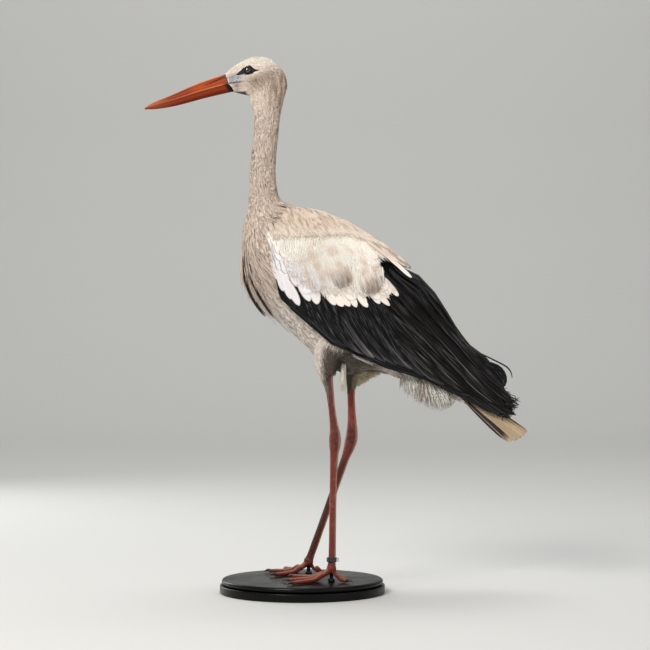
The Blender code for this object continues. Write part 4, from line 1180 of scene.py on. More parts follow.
def smoothed(*pairs, window=.018):
    """A table of (a, value) pairs read on a line whose corners are rounded over window."""
    step, (places, values) = .001, zip(*pairs)
    fine = np.linspace(-.04, .6, 641)
    width = int(window / step) | 1
    kernel = np.hanning(width + 2)[1:-1]
    rough = np.pad(np.interp(fine, places, values), width // 2, mode="edge")
    smooth = np.convolve(rough, kernel / kernel.sum(), mode="valid")
    return lambda a: np.interp(a, fine, smooth)


wing_top = smoothed((0, 0), (.024, -.016), (.052, -.033), (.108, -.071), (.165, -.085), (.231, -.092),
    (.252, -.0935))
wing_foot = smoothed((0, 0), (.024, .026), (.049, .05), (.08, .0805), (.128, .088), (.213, .09),
    (.248, .087), (.29, .075), (.337, .057), (.376, .051), (.435, .04), (.481, .038), (.525, .036),
    (.5415, .016))
covert_foot = smoothed((0, 0), (.049, .046), (.08, .061), (.111, .066), (.135, .052), (.174, .03),
    (.205, .015), (.235, -.012), (.25, -.06))
wing_ridge = smoothed((0, -.057), (.024, -.0735), (.055, -.0845), (.094, -.0945), (.173, -.1),
    (.232, -.095), (.282, -.09), (.327, -.0705), (.374, -.047), (.404, -.0355), (.43, -.042), (.464, -.044),
    (.481, -.05), (.497, -.043), (.505, -.032), (.53, -.009), (.5415, .006))
wing_waist = smoothed((0, 0), (.1, .01), (.3, .01), (.45, .008), (.5415, .014))
wing_half = smoothed((0, .056), (.03, .071), (.06, .08), (.14, .086), (.22, .085), (.3, .074), (.4, .055),
    (.48, .04), (.5415, .029))


def wing_plane(spots):
    """Where points stand in the wing's plane."""
    dx, dz = spots[..., 0] - WRIST[0], spots[..., 2] - WRIST[1]
    return dx * cos(PITCH) - dz * sin(PITCH), -dx * sin(PITCH) - dz * cos(PITCH)


def off_plane(a, b, y):
    """Points at (a, b) in the wing's plane, y off the bird's middle."""
    return np.stack([WRIST[0] + a * cos(PITCH) - b * sin(PITCH), y + 0 * a,
        WRIST[1] - a * sin(PITCH) - b * cos(PITCH)], -1)


def wing(a, b, depth=0.0, sign=1):
    """The roof of the folded wings: above the waist line a quarter ellipse from the ridge, and
    below it a line that tucks in towards the belly by a sine."""
    ridge, waist, foot = wing_ridge(a), wing_waist(a), wing_foot(a)
    rise = np.clip((waist - b) / np.maximum(waist - ridge, 1e-4), 0, 1)
    fall = np.clip((b - waist) / np.maximum(foot - waist, 1e-4), 0, 1.4)
    bend = np.where(b <= waist, np.sqrt(1 - rise ** 2), np.sin(pi / 2 + (TUCK - pi / 2) * fall))
    return off_plane(a, b + depth * rise, sign * np.maximum((wing_half(a) - depth) * bend, .0012))


print("wing from", np.round(wing(0.0, 0.0), 4), "to", np.round(wing(.5415, .006), 4))

# %% [markdown]
# ### Breast, flanks, rump and mantle
# Broad soft feathers lie on the trunk, with fine hair-like wisps over them. Fewer are needed
# where the folded wings hide them. The mantle's feathers are larger and rounder.

# %% Trunk coat
def unhidden(spots):
    """1 where the trunk shows, and a little where the folded wings cover it."""
    a, b = wing_plane(spots)
    inside = (fade(.035, .055, a) * fade(wing_ridge(a) + .03, wing_ridge(a) + .045, b)
        * fade(0.0, -.02, b - wing_foot(a)))
    return 1 - .93 * inside


coat_piece("coat_trunk", [body_tufts(3600, (11.6, 23.6), (0, TAU), unhidden,
    ramp((11, .022), (14, .028), (24, .03)), ramp((11, .003), (13, .0046), (24, .0058)), .0005,
    (-.0006, .0008), ROUND, wander=.1, root=.66, spread=.06, seed=3)], soft_finish, "body_feathers")
coat_piece("coat_trunk_wisps", [body_tufts(6500, (11.8, 23.4), (0, TAU), unhidden,
    ramp((11, .022), (14, .03), (24, .034)), ramp((11, .0011), (14, .0013), (24, .0014)), .0004,
    (.0002, .0022), WISP, wander=.12, root=.6, spread=.1, seed=4)], soft_finish, "body_feathers")
coat_piece("coat_mantle", [body_tufts(430, (12.1, 17.2), (-1.45, 1.45), everywhere,
    ramp((12, .026), (14, .034), (17, .04)), ramp((12, .006), (14, .008), (17, .0085)), .0007,
    (.0012, .0034), BROAD, wander=.14, root=.66, spread=.1, seed=5)], covert_finish, "body_feathers")

# %% [markdown]
# ### Flight feathers
# The long primaries run along the folded wing's lower edge, and the secondaries slant down to it.
# The broad tertials roof the back, and a few of them curl at the tip. Painting them on a shell
# would lose their steps, so each is a blade of its own, over a thin closed bed that is white under
# the coverts and black below them, so that no gap shows the body.

# %% Vanes on the wing
INK, TERTIAL, EDGE_GLINT = srgb(14, 14, 16), srgb(19, 15, 13), srgb(190, 188, 184)
VANE = ((0, .4), (.06, .7), (.2, .95), (.4, 1.0), (.6, 1.0), (.75, .98), (.85, .9), (.92, .74), (.965, .52),
    (.99, .28), (1, .1))


def wing_side(sign):
    """The folded wing on one side, as a surface of (a, b)."""
    return lambda a, b, depth=0.0: wing(a, b, depth, sign)


def wing_map(a, b):
    """The wing's own unwrap: its plane, shrunk to the map."""
    return np.stack([(a + .03) / .62, np.clip((b + .12) / .24, .01, .99)], -1)


def through(routes, u):
    """Points (a, b) at u on smooth curves through each route's marks."""
    places = np.asarray(u) * (len(routes[0]) - 1)
    return np.moveaxis(np.array([smooth_rows(route, places) for route in routes]), -1, 0)


def back_from(tip_a, tip_b, way, size, u):
    """Straight paths (a, b) that end at their tips, each size long in the direction way."""
    return (tip_a[:, None] - (size * np.cos(way))[:, None] * (1 - u),
        tip_b[:, None] - (size * np.sin(way))[:, None] * (1 - u))


def wing_vanes(sign, paths, half, thick, lift, profile, ring=10, tilt=0.0, camber=0.0, seed=0):
    """Vanes along paths (a, b) on the wing, standing off it by lift, with their lower edge
    raised by tilt."""
    a, b = paths
    surface, lift = wing_side(sign), np.asarray(lift, float)
    depth = -np.broadcast_to(lift if lift.ndim == 2 else lift.reshape(-1, 1), a.shape)
    return blades(surface(a, b, depth), facing(surface, a, b, depth), half, thick, profile,
        wing_map(a[:, 0], b[:, 0]), ring, camber, sign * tilt, seed)


def covert_end(b):
    """How far back the white coverts reach at b: a dark wedge cuts in above the last of them."""
    return np.interp(b, (-.09, -.068, -.0595, -.047, -.038, -.02, .000),
        (.21, .194, .2026, .211, .246, .245, .24))


# %% Wing bed
BED_TOP = smoothed((0, 0), (.024, -.016), (.052, -.033), (.108, -.071), (.165, -.085), (.231, -.092),
    (.282, -.09), (.327, -.0705), (.374, -.047), (.404, -.0355), (.43, -.038), (.48, -.036))
BED_DEPTHS = (.002, .0055)


def wing_bed(sign):
    """One closed band of the wing's surface between two depths."""
    a = np.linspace(.004, .47, 80)[:, None]
    b = BED_TOP(a) + (wing_foot(a) - .002 - BED_TOP(a)) * np.linspace(0, 1, 26)
    outer, inner = (wing(a, b, depth, sign) for depth in BED_DEPTHS)
    white = np.where((b < covert_foot(a) - .026) & (a < covert_end(b) - .016), 1.0, 0.0)
    paint, spread_map = glazed(INK, (srgb(225, 216, 206), white)), wing_map(a + 0 * b, b)
    points, paint, bake = (np.concatenate([face, back[:, ::-1]], 1)[None] for face,
        back in ((outer, inner), (paint, paint), (spread_map, spread_map + .0005)))
    return {"points": points, "paint": paint, "vane": np.full(points.shape, .5), "bake": bake}


# %% Primaries and secondaries
PRIMARY_TIPS = ((.455, .04), (.48, .0375), (.503, .036), (.522, .032), (.536, .024), (.541, .015),
    (.533, .006))
SECONDARIES = 15


def primaries(sign):
    """Seven vanes along the lower edge, one above the other."""
    routes = []
    for k, tip in enumerate(PRIMARY_TIPS):
        marks = np.array((.04 + .008 * k, .13, .25, .37))
        routes.append([*zip(marks, wing_foot(marks) - .004 - .0046 * k), tip])
    vanes = wing_vanes(sign, through(routes, stations(VANE)), .0075, .0007, .0002 + .0003 * np.arange(7),
        VANE, tilt=.1, seed=10)
    return shaded(vanes, srgb(21, 22, 24), .8, .15, 10)


def secondaries(sign, dice):
    """Vanes that slant down to just above the lower edge, each over the one before it, with fine
    grey lines of painted sheen along the lower web of the rear ones."""
    u, order = stations(VANE), np.arange(SECONDARIES)
    tip_a = np.linspace(.15, .405, SECONDARIES) + .003 * dice.normal(size=SECONDARIES)
    tip_b = wing_foot(tip_a) - np.linspace(.01, .004, SECONDARIES)
    a_run, b_run = back_from(tip_a, tip_b, np.radians(np.linspace(29, 17, SECONDARIES)),
        np.linspace(.135, .18, SECONDARIES), u)
    vanes = wing_vanes(sign, (a_run, b_run + .007 * np.sin(pi * u)), .0105, .0007, .0022 + .00012 * order,
        VANE, ring=20, tilt=.11, camber=6.0, seed=11)
    made = shaded(vanes, INK, .7, .18, 11)
    run, off, number = np.moveaxis(made["vane"], -1, 0)
    # Painted sheen: fine grey lines on the lower web near the tips, and further up on every other rear
    # vane.
    lines = fade(.1, .9, np.sin(15 * off * sign + 60 * number))
    late, odd = fade(.19, .25, tip_a)[:, None, None], (order % 2)[:, None, None]
    edge = (.8 * fade(.8, .93, run) + .45 * fade(.45, .7, run) * odd) * lines * late
    made["paint"] = glazed(made["paint"], (srgb(126, 122, 124), edge))
    return made


# %% Tertials
TERTIAL_ROUTES = [[(.17, -.01), (.25, .008), (.33, .022), (.4, .03), (.455, .03)],
                  [(.18, -.028), (.26, -.008), (.34, .006), (.42, .016), (.49, .022)],
                  [(.19, -.045), (.27, -.024), (.35, -.008), (.43, .003), (.515, .014)],
                  [(.2, -.06), (.28, -.04), (.36, -.022), (.44, -.008), (.522, .002)],
                  [(.21, -.072), (.29, -.056), (.365, -.034), (.43, -.022), (.495, -.01)],
                  [(.215, -.082), (.28, -.072), (.345, -.05), (.4, -.034), (.45, -.03)],
                  [(.22, -.088), (.27, -.083), (.32, -.066), (.365, -.046), (.41, -.032)]]
TERTIAL_HALVES = np.array((.012, .013, .014, .014, .012, .01, .009))
# Marks (a, b), how far off the bird's middle, half width and roll of the narrow curled ones
CURLS = (([(.41, -.038), (.445, -.043), (.4726, -.0468), (.485, -.0468), (.495, -.0427), (.5013, -.036)],
          .004, .0022, -.6),
         ([(.43, -.026), (.456, -.031), (.471, -.0322), (.484, -.026), (.4915, -.0165), (.492, -.005)],
          .04, .0085, -1.35),
         ([(.43, .004), (.46, .001), (.485, -.002), (.505, .0000), (.517, .006), (.52, .016)],
          .036, .0085, -1.2))
STRANDS = 380


def tertials(sign):
    """Broad brown-black vanes with a thin, broken pale edge, a painted highlight."""
    paths = through(TERTIAL_ROUTES, stations(VANE))
    lift = -.001 + (.0052 + .0007 * np.arange(7)[:, None]) * fade(.225, .275, paths[0])
    vanes = wing_vanes(sign, paths, TERTIAL_HALVES, .0008, lift, VANE, ring=12, tilt=.1, camber=5.0,
        seed=12)
    made = shaded(vanes, TERTIAL, .75, .15, 12)
    run, off, number = np.moveaxis(made["vane"], -1, 0)
    # Painted highlight: a thin pale line along the vanes' edges, broken along their length.
    broken = fade(.4, .9, np.sin(17 * run + 50 * number))
    made["paint"] = glazed(made["paint"], (EDGE_GLINT,
        .85 * fade(.88, 1.0, np.abs(off)) * fade(.4, .7, run) * broken))
    return made


def curl(sign, marks, y, half, roll):
    """A narrow tertial whose tip curls over, along a curve off the wing's plane."""
    plane = smooth_rows(marks, np.linspace(0, len(marks) - 1, len(VANE)))
    line = off_plane(*plane.T, sign * y)
    bend_out = np.cross(unit(np.gradient(line, axis=0)), (0, -1.0, 0))
    even = tuple(zip(np.linspace(0, 1, len(VANE)), np.array(VANE)[:, 1]))
    made = blades(line[None], bend_out[None], half, .0006, even, wing_map(*plane[:1].T), 8,
        roll=sign * roll, seed=13)
    return shaded(made, INK, .8, 0.0)


def fray(sign, dice):
    """Soft dark strands round the wing's tip."""
    start = np.stack([dice.uniform(.485, .527, STRANDS), dice.uniform(-.012, .03, STRANDS)], -1)
    reach = dice.uniform(.007, .015, STRANDS)[:, None] * stations(WISP)
    way = dice.normal(.15, .5, STRANDS)[:, None]
    a_run, b_run = start[:, :1] + reach * np.cos(way), start[:, 1:] + reach * np.sin(way)
    depth = dice.uniform(-.002, .012, STRANDS)[:, None] + 0 * a_run
    made = blades(wing(a_run, b_run, depth, sign), facing(wing_side(sign), a_run, b_run, depth), .0007,
        .0003, WISP, wing_map(*start.T), seed=14)
    return shaded(made, srgb(44, 35, 30), .8, .2, 14)


# %% [markdown]
# ### Coverts and scapulars
# Rows of white coverts overlap like slates and end in a scalloped edge, with two grey-brown ones
# towards the rear. The scapulars roof the space up to the back: short and round in front, then
# long tan and cream stripes. A plain grid would look machined, so every tip and direction is
# loosened a little, and fine wisps over them blur the steps from row to row.

# %% Coverts
LOBE = ((0, .3), (.15, .62), (.4, .92), (.62, 1.0), (.78, .93), (.89, .72), (.96, .42), (1, .12))
COVERT = ((0, .3), (.15, .62), (.4, .92), (.65, 1.0), (.82, .97), (.91, .83), (.965, .58), (1, .2))
# The two grey-brown coverts: where each one's tip lies (a, b), and its half width.
CLOUDED = ((.1655, .0005, .018), (.215, -.0185, .0215))
CLOUD_WAY, CLOUD_STRIPS = radians(37), 34
# The greater coverts' tips make the scalloped white edge: (a, b, half width) of each one, and of
# the shorter ones that lie under them between the lobes.
UNDER_TIPS = np.array([(.062, .038, .011), (.078, .041, .012), (.096, .044, .012), (.114, .034, .012),
    (.131, .023, .012), (.149, .022, .012), (.163, .016, .012), (.178, .012, .012), (.192, .004, .011),
    (.203, -.004, .01), (.214, -.016, .01), (.224, -.028, .008)])
GREATER_TIPS = np.array([(.034, .031, .006), (.047, .043, .007), (.061, .0545, .007), (.0795, .065, .008),
    (.0985, .069, .0085), (.1165, .07, .008), (.1275, .0535, .009), (.1415, .0505, .0105),
    (.1624, .0316, .0085), (.168, .0345, .0105), (.1808, .0285, .0095), (.1905, .0215, .008),
    (.2005, .0167, .008), (.2164, .006, .0078), (.2307, -.0101, .008), (.247, -.017, .0062),
    (.238, -.027, .008), (.251, -.0385, .0062)])
# (share of the way from the lower edge up to the top edge, length, half width) of each row
COVERT_ROWS = ((0, .055, UNDER_TIPS), (0, .062, GREATER_TIPS), (.2, .054, .013), (.34, .052, .0135),
    (.48, .05, .0135), (.62, .048, .013), (.76, .044, .0125), (.88, .04, .012))


def clouded(a, b):
    """How grey-brown the coverts are at (a, b): each feather ends in a round edge, off over the
    half width and short of the tip by less than it, and fades back from there towards its root."""
    total = 0.0
    for tip_a, tip_b, half in CLOUDED:
        back = (tip_a - a) * cos(CLOUD_WAY) + (tip_b - b) * sin(CLOUD_WAY)
        off = (b - tip_b) * cos(CLOUD_WAY) - (a - tip_a) * sin(CLOUD_WAY)
        streak = .8 + .2 * np.sin(700 * off + 90 * back)
        edge = fade(1.12, .7, np.hypot(off, np.maximum(half - back, 0)) / half)
        total = total + edge * streak * fade(.046, .004, back)
    return np.clip(total, 0, 1)


def covert_colour(a, b):
    """White coverts: bluish in front and below, cream along the top, clouded with beige."""
    share = np.clip((covert_foot(a) - b) / np.maximum(covert_foot(a) - wing_top(a), 1e-3), 0, 1)
    beige = (fade(-.3, .9, waves(np.stack([a, b, 0 * a], -1), .026, 21)) * fade(.05, .09, a)
        * fade(.92, .75, share) * fade(.1, .3, share))
    return glazed(srgb(249, 239, 228), (srgb(236, 232, 233), fade(.155, .115, a) * fade(.55, .3, share)),
        (srgb(218, 198, 180), .7 * beige), (srgb(134, 116, 101), .9 * clouded(a, b)),
        (srgb(248, 238, 222), fade(.88, .97, share)))


def covert_direction(a):
    """Which way a covert points, down from the wing's line: steeply in front, less behind."""
    return np.radians(np.interp(a, (0, .05, .12, .2, .25), (56, 44, 34, 25, 14)))


def covert_row(sign, dice, k):
    """One row of coverts. The two lowest have given tips; the others are spaced along the wing."""
    share, size, half = COVERT_ROWS[k]
    shape = LOBE if k == 1 else COVERT
    if k < 2:
        tip_a, tip_b, halves = half.T
    else:
        tip_a = np.arange(.016 + .006 * (k % 2), .244, half * .9)
        tip_a = tip_a + .004 * dice.normal(size=len(tip_a))
        tip_b = covert_foot(tip_a) + (wing_top(tip_a) - covert_foot(tip_a)) * share
        tip_b = tip_b + .0055 * dice.normal(size=len(tip_a))
        kept = tip_a < covert_end(tip_b)
        tip_a, tip_b = tip_a[kept], tip_b[kept]
        halves = half * np.interp(tip_a, (0, .08), (.6, 1))
    way = covert_direction(tip_a) + .1 * dice.normal(size=len(tip_a))
    sizes = size * np.interp(tip_a, (0, .08), (.45, 1.0)) * dice.uniform(.92, 1.1, len(tip_a))
    a_run, b_run = back_from(tip_a, tip_b, way, sizes, stations(shape))
    a_run = np.maximum(a_run, .001)
    b_run = np.maximum(b_run, wing_top(a_run) + .0015)
    vanes = wing_vanes(sign, (a_run, b_run), halves, .0004, .004 + .0004 * k, shape, ring=8, tilt=.02,
        camber=7.0, seed=20 + k)
    return shaded(vanes, covert_colour(a_run, b_run), .95, .025, 20 + k)


def clouded_covert(sign, dice, middle_a, middle_b, half):
    """A grey-brown covert: a fan of narrow strips whose tips lie on a round edge."""
    off = np.linspace(-.9, .9, CLOUD_STRIPS) + .02 * dice.normal(size=CLOUD_STRIPS)
    back = half * (1 - np.sqrt(1 - off ** 2)) + .004 * dice.random(CLOUD_STRIPS) ** 2
    tip_a = middle_a - back * cos(CLOUD_WAY) - half * off * sin(CLOUD_WAY)
    tip_b = middle_b - back * sin(CLOUD_WAY) + half * off * cos(CLOUD_WAY)
    way = CLOUD_WAY + .1 * dice.normal(size=CLOUD_STRIPS)
    paths = back_from(tip_a, tip_b, way, .034 - .5 * back, stations(WISP))
    vanes = wing_vanes(sign, paths, .0015, .0003, .0062 + .0006 * dice.random(CLOUD_STRIPS), WISP, ring=4,
        seed=29)
    return shaded(vanes, covert_colour(*paths), .95, .09, 29)


def covert_wisps(sign, dice):
    """Fine wisps that soften the coverts' edges."""
    def inside(spots):
        a, b = wing_plane(spots)
        free = ((b > wing_top(a) - .002) & (b < covert_foot(a) - .037 + .01 * fade(.09, .05, a))
            & (a < covert_end(b) - .024))
        return np.where(free & (clouded(a, b) < .6), 1.0, 0.0)

    surface, u = wing_side(sign), stations(WISP)
    a, b = scatter(2600, surface, (.006, .24), (-.095, .066), inside, 30 + sign)
    length = dice.uniform(.014, .028, len(a))
    a_run, b_run = follow(surface, a, b, length, covert_direction(a) + .12 * dice.normal(size=len(a)), u,
        .002)
    height = .0056 + .0026 * fade(covert_foot(a), wing_top(a), b)
    centre, out = on_surface(surface, a_run, b_run, -height, dice.uniform(.0062, .0076, len(a)), u)
    made = blades(centre, out, .0011, .0003, WISP, wing_map(a, b), seed=31)
    return shaded(made, covert_colour(a_run, b_run) * 1.1, .96, .03, 31)


# %% Scapulars
SCAPULAR_ROWS = (-.02, .12, .26, .4, .54, .68, .82, .95)


def scapular_row(share, dice):
    """Tips (a, b), directions, lengths, half widths and colours of the row that lies share of the
    way from the coverts' top edge to the wing's ridge."""
    tip_a = np.arange(.02 + .03 * share, .246 - .02 * share, .0085) + .003 * dice.normal()
    tip_a = tip_a + .003 * dice.normal(size=len(tip_a))
    top = wing_top(np.minimum(tip_a, .2)) + .0008
    tip_b = top + (wing_ridge(tip_a) + .002 - top) * share + .002 * dice.normal(size=len(tip_a))
    late, grown = fade(.09, .17, tip_a), fade(.03, .07, tip_a)
    way = np.interp(tip_a, (0, .1, .17, .25), (.62, .36, .18, .06)) + .07 * dice.normal(size=len(tip_a))
    stripe = dice.random(len(tip_a))
    tone = glazed(MANTLE, (CREAM * .9, .85 * fade(.22, -.1, share) * fade(.04, .07, tip_a)),
        (BROWN, .55 * late * fade(.45, .6, stripe) * (share > .05)),
        (CREAM, .55 * late * fade(.5, .2, stripe)))
    return tip_a, tip_b, way, .022 + .008 * grown + .04 * late, .0058 + .002 * grown - .0026 * late, tone


def scapulars(sign, dice):
    """All rows of scapulars, clouded with brown."""
    rows = [scapular_row(share, dice) for share in SCAPULAR_ROWS]
    tip_a, tip_b, ways, longs, halves, tones = (np.concatenate(values) for values in zip(*rows))
    a_run, b_run = back_from(tip_a, tip_b, ways, longs, stations(COVERT))
    b_run = np.maximum(b_run, wing_ridge(a_run) + .0015)
    cloud = fade(-.4, 1.0, waves(np.stack([a_run, b_run, 0 * a_run], -1), .011, 41 + sign))
    lift = .0062 + .0016 * seeded(45).random(len(tip_a))
    vanes = wing_vanes(sign, (a_run, b_run), halves, .0006, lift, COVERT, ring=8, tilt=.04, camber=12.0,
        seed=40)
    return shaded(vanes, glazed(tones[:, None], (BROWN, .32 * cloud)), .78, .05, 40)


def white_tip(sign):
    """The lowest scapular, with a white pointed tip."""
    u = stations(COVERT)
    paths = through([[(.15, -.0825), (.205, -.08), (.252, -.0735)]], u)
    vane = wing_vanes(sign, paths, .0062, .0007, .0098, COVERT, ring=8, tilt=.06, camber=12.0, seed=42)
    return shaded(vane, glazed(MANTLE, (srgb(255, 248, 238), fade(.45, .75, u)[None])), .9, 0.0, 42)


def haze(sign, dice):
    """Fine wisps that blur the scapulars."""
    def roof(spots):
        a, b = wing_plane(spots)
        return np.where((b > wing_ridge(a) + .004) & (b < wing_top(a) - .0065) & (a < .225), 1.0, 0.0)

    surface, u = wing_side(sign), stations(WISP)
    a, b = scatter(4600, surface, (0.0, .232), (-.1, .004), roof, 35)
    way = np.interp(a, (0, .1, .17, .25), (.45, .25, .15, .05)) + .16 * dice.normal(size=len(a))
    a_run, b_run = follow(surface, a, b, dice.uniform(.01, .021, len(a)), way, u, .002)
    above = -dice.uniform(.0074, .0092, (len(a), 1)) - 0 * a_run
    centre, out = surface(a_run, b_run, above), facing(surface, a_run, b_run, above)
    cloud = fade(-.2, 1.0, waves(np.stack([a, 2 * b, 0 * a], -1), .015, 43))
    light = np.maximum(.8 * fade(-.022, -.006, b - wing_top(a)), .3 * fade(.6, .9, dice.random(len(a))))
    made = blades(centre, out, .0011, .0003, WISP, wing_map(a, b), seed=36)
    return shaded(made, glazed(MANTLE, (BROWN, .62 * cloud), (CREAM * .9, light)), .88, .07, 36)


# %% Both wings
for side, sign in (("left", -1), ("right", 1)):
    dice = seeded(500 + sign)
    coat_piece(f"wing_{side}_quills", [wing_bed(sign), primaries(sign), secondaries(sign, dice)],
        flight_finish, "flight_feathers", [f"wing_{side}_flight"])
    coat_piece(f"wing_{side}_tertials_vanes", [tertials(sign), *(curl(sign, *row) for row in CURLS),
        fray(sign, dice)], flight_finish, "flight_feathers", [f"wing_{side}_tertials"])
    rows = [covert_row(sign, dice, k) for k in range(len(COVERT_ROWS))]
    rows += [clouded_covert(sign, dice, *row) for row in CLOUDED]
    coat_piece(f"wing_{side}_covert_vanes", [*rows, covert_wisps(sign, dice)], covert_finish,
        "covert_feathers", [f"wing_{side}_coverts"])
    coat_piece(f"wing_{side}_scapulars", [scapulars(sign, dice), white_tip(sign), haze(sign, dice)],
        covert_finish, "covert_feathers")

# %% [markdown]
# ### Tail
# Twelve tail feathers fan out as a low roof, the outermost painted near-black along their length
# as the shade between the tail's layers, with long coverts below them. A flat fan would look like
# card, so the roof is a surface of its own, whose edges droop.

# %% Tail
TAIL_ROOT, TAIL_TIP = np.array((.29, 0, .361)), np.array((.3985, 0, .285))
TAIL_LONG = np.linalg.norm(TAIL_TIP - TAIL_ROOT)
TAIL_WAY = (TAIL_TIP - TAIL_ROOT) / TAIL_LONG
TAIL_UP = np.array((-TAIL_WAY[2], 0, TAIL_WAY[0]))
TAIL_VANE = ((0, .35), (.15, .6), (.4, .85), (.65, 1.0), (.82, 1.0), (.91, .92), (.96, .72), (.985, .48),
    (1, .16))
UNDER_COUNT = 46


def tail(v, w, depth=0.0):
    """The tail's roof: v runs down it and w across, and its edges droop by |w|^1.6."""
    wide = np.clip(np.abs(w), 0, 1.3)
    half = .015 + .021 * np.maximum(v, 0) ** .8
    down = .033 * wide ** 1.6 * (.45 + .55 * v) + depth
    return (TAIL_ROOT + (TAIL_LONG * v)[..., None] * TAIL_WAY - down[..., None] * TAIL_UP
        + (w * half)[..., None] * np.array((0, 1.0, 0)))


def tail_feathers(place, start, reach, depth, lift, half, thick, profile, bake_u, ring, camber, seed):
    """Blades on the tail's roof, each at its place across it."""
    u = stations(profile)
    v = np.broadcast_to(start, len(place))[:, None] + reach[:, None] * u
    centre, out = on_surface(tail, v, np.broadcast_to(place[:, None], v.shape), depth, lift, u)
    raised = (.003 * (1 - np.abs(place)))[:, None, None] * TAIL_UP if profile is TAIL_VANE else 0
    root_map = np.stack([bake_u + 0 * place, .5 + .4 * place], -1)
    return blades(centre + raised, out, half, thick, profile, root_map, ring, camber=camber, seed=seed)


# Past the outermost feather a narrow grey edge shows on either side.
place = np.concatenate([[-1.06], np.linspace(-.95, .95, 12), [1.06]])
edge = np.abs(place) > 1
tan = glazed(srgb(194, 170, 138), (srgb(152, 140, 122), fade(0.0, .5, place)))
rectrices = shaded(tail_feathers(place, .02, .98 - .14 * np.abs(place) ** 3, 0.0, 0.0,
    np.where(edge, .0014, .0092), .0007, TAIL_VANE, .05, 10, 8.0, 50),
    np.where(edge[:, None], srgb(150, 144, 134), tan), .72, .1, 50)
run = rectrices["vane"][..., 0]
# Painted shade: the outermost feathers are near-black along their length, for the gap between the tail's
# layers.
dark = (np.abs(np.abs(place) - .95) < .05)[:, None, None] * fade(.02, .12, run) * fade(.97, .86, run)
rectrices["paint"] = glazed(rectrices["paint"], (srgb(34, 24, 20), .96 * dark))
dice = seeded(51)
place, start = dice.uniform(-.8, .8, UNDER_COUNT), dice.uniform(-.25, .15, UNDER_COUNT)
reach, depth = dice.uniform(.45, .62, UNDER_COUNT), .0065 + .003 * dice.random(UNDER_COUNT)
under = shaded(tail_feathers(place, start, reach, depth, -.003, .0042, .0005, COVERT,
    .05 + .3 * dice.random(UNDER_COUNT), 6, 0.0, 52), srgb(206, 188, 162), .7, .08, 52)
coat_piece("tail_vanes", [rectrices, under], tail_finish, "tail_feathers", ["tail"])

# %% [markdown]
# ### Down and plume
# Loose down hangs under the tail and between the thighs, and a plume of long strands hangs from
# the lower neck in separate locks, with dark strands laid in the gaps between them as painted
# shade. Simulated hair would settle differently on each run, so strands whose way turns along
# their length, from seeded draws, do it.

# %% Hanging down
def hanging(roots, first, last, length, half, profile, root_map, colour, root=.7, spread=.08, seed=0,
        face=None):
    """Loose strands: their way turns from first to last along their length. Face, if given, is
    the side that they turn outwards."""
    dice = seeded(600 + seed)
    fine = np.linspace(0, 1, 33)
    way = unit(first[:, None] + (last - first)[:, None] * (fine ** .7)[None, :, None])
    run = np.concatenate([np.zeros((len(roots), 1, 3)), np.cumsum((way[:, 1:] + way[:, :-1]) / 2, 1)],
        1) / 32
    picked = run[:, np.round(stations(profile) * 32).astype(int)]
    centre = roots[:, None] + length[:, None, None] * picked
    loose = dice.normal(size=(len(roots), 1, 3)) * (1, 1.6, .3)
    out = np.broadcast_to(unit(loose if face is None else face + .25 * loose), centre.shape)
    return shaded(blades(centre, out, half, .0004, profile, root_map, seed=seed), colour, root, spread,
        seed)


FLUFF, BELLY = 4200, 90
dice = seeded(60)
s, t = dice.uniform(21.85, 23.45, FLUFF), pi + dice.uniform(-.95, .95, FLUFF)
roots, out, along = body_frame(s, t, .004)
short = np.interp(s, (21.8, 22.3, 23.0, 23.45), (.6, 1.0, 1.05, .65)) * dice.uniform(.55, 1.15, FLUFF)
first = out * .8 + along * .6 + .25 * dice.normal(size=(FLUFF, 3))
last = np.array((.25, 0.0, -1.0)) + .22 * dice.normal(size=(FLUFF, 3))
colour = glazed(srgb(244, 240, 232), (srgb(160, 138, 118), .7 * fade(.6, 1.2, waves(roots, .022, 61))))
fluff = hanging(roots, first, last, .04 * short, .0009, LOCK, body_map(s, t), colour, .9, .05, 60,
    (out * (.3, 1, .3) + (0, 0, .15))[:, None])
coat_piece("undertail_fluff", [fluff], soft_finish, "down_feathers", ["undertail_down"])

roots = (.0725, -.03, .404) + dice.normal(size=(BELLY, 3)) * (.0022, .003, .003)
last = np.array((-.1, 0.0, -1.0)) + .1 * dice.normal(size=(BELLY, 3))
first = np.array((.05, 0, -1.0)) + .1 * dice.normal(size=(BELLY, 3))
length, turn = dice.uniform(.026, .05, BELLY), pi + dice.uniform(-.2, .2, BELLY)
tuft = hanging(roots, first, last, length, .0011, LOCK, body_map(19.0 + 0 * turn, turn),
    srgb(244, 238, 222), .7, .05, 61)
coat_piece("belly_wisps", [tuft], soft_finish, "down_feathers", ["belly_tuft"])

# %% Plume
# (first and last s of the roots, lift, reach, count) of each layer of locks
LOCK_LAYERS = ((12.5, 13.5, .017, .118, 190), (13.0, 14.2, .01, .118, 200), (13.6, 15.2, .0045, .105, 200))
# Dark strands, painted shade, lie where the locks part, and in a few partings on the shoulder:
# marks (s, t), and for the shoulder also the drift.
PARTINGS = [[(13.8, 3.58), (14.46, 3.53), (15.03, 3.44), (15.77, 3.38), (16.47, 3.36)],
            [(14.26, 3.77), (15.01, 3.68), (15.69, 3.62), (16.26, 3.57), (16.71, 3.5)]]
SHOULDER = [(12.84, 4.82, .6), (13.1, 4.92, .7), (13.36, 4.82, .6), (14.03, 4.86, .9), (12.44, 5.4, .5)]
PARTING_STRANDS = 120


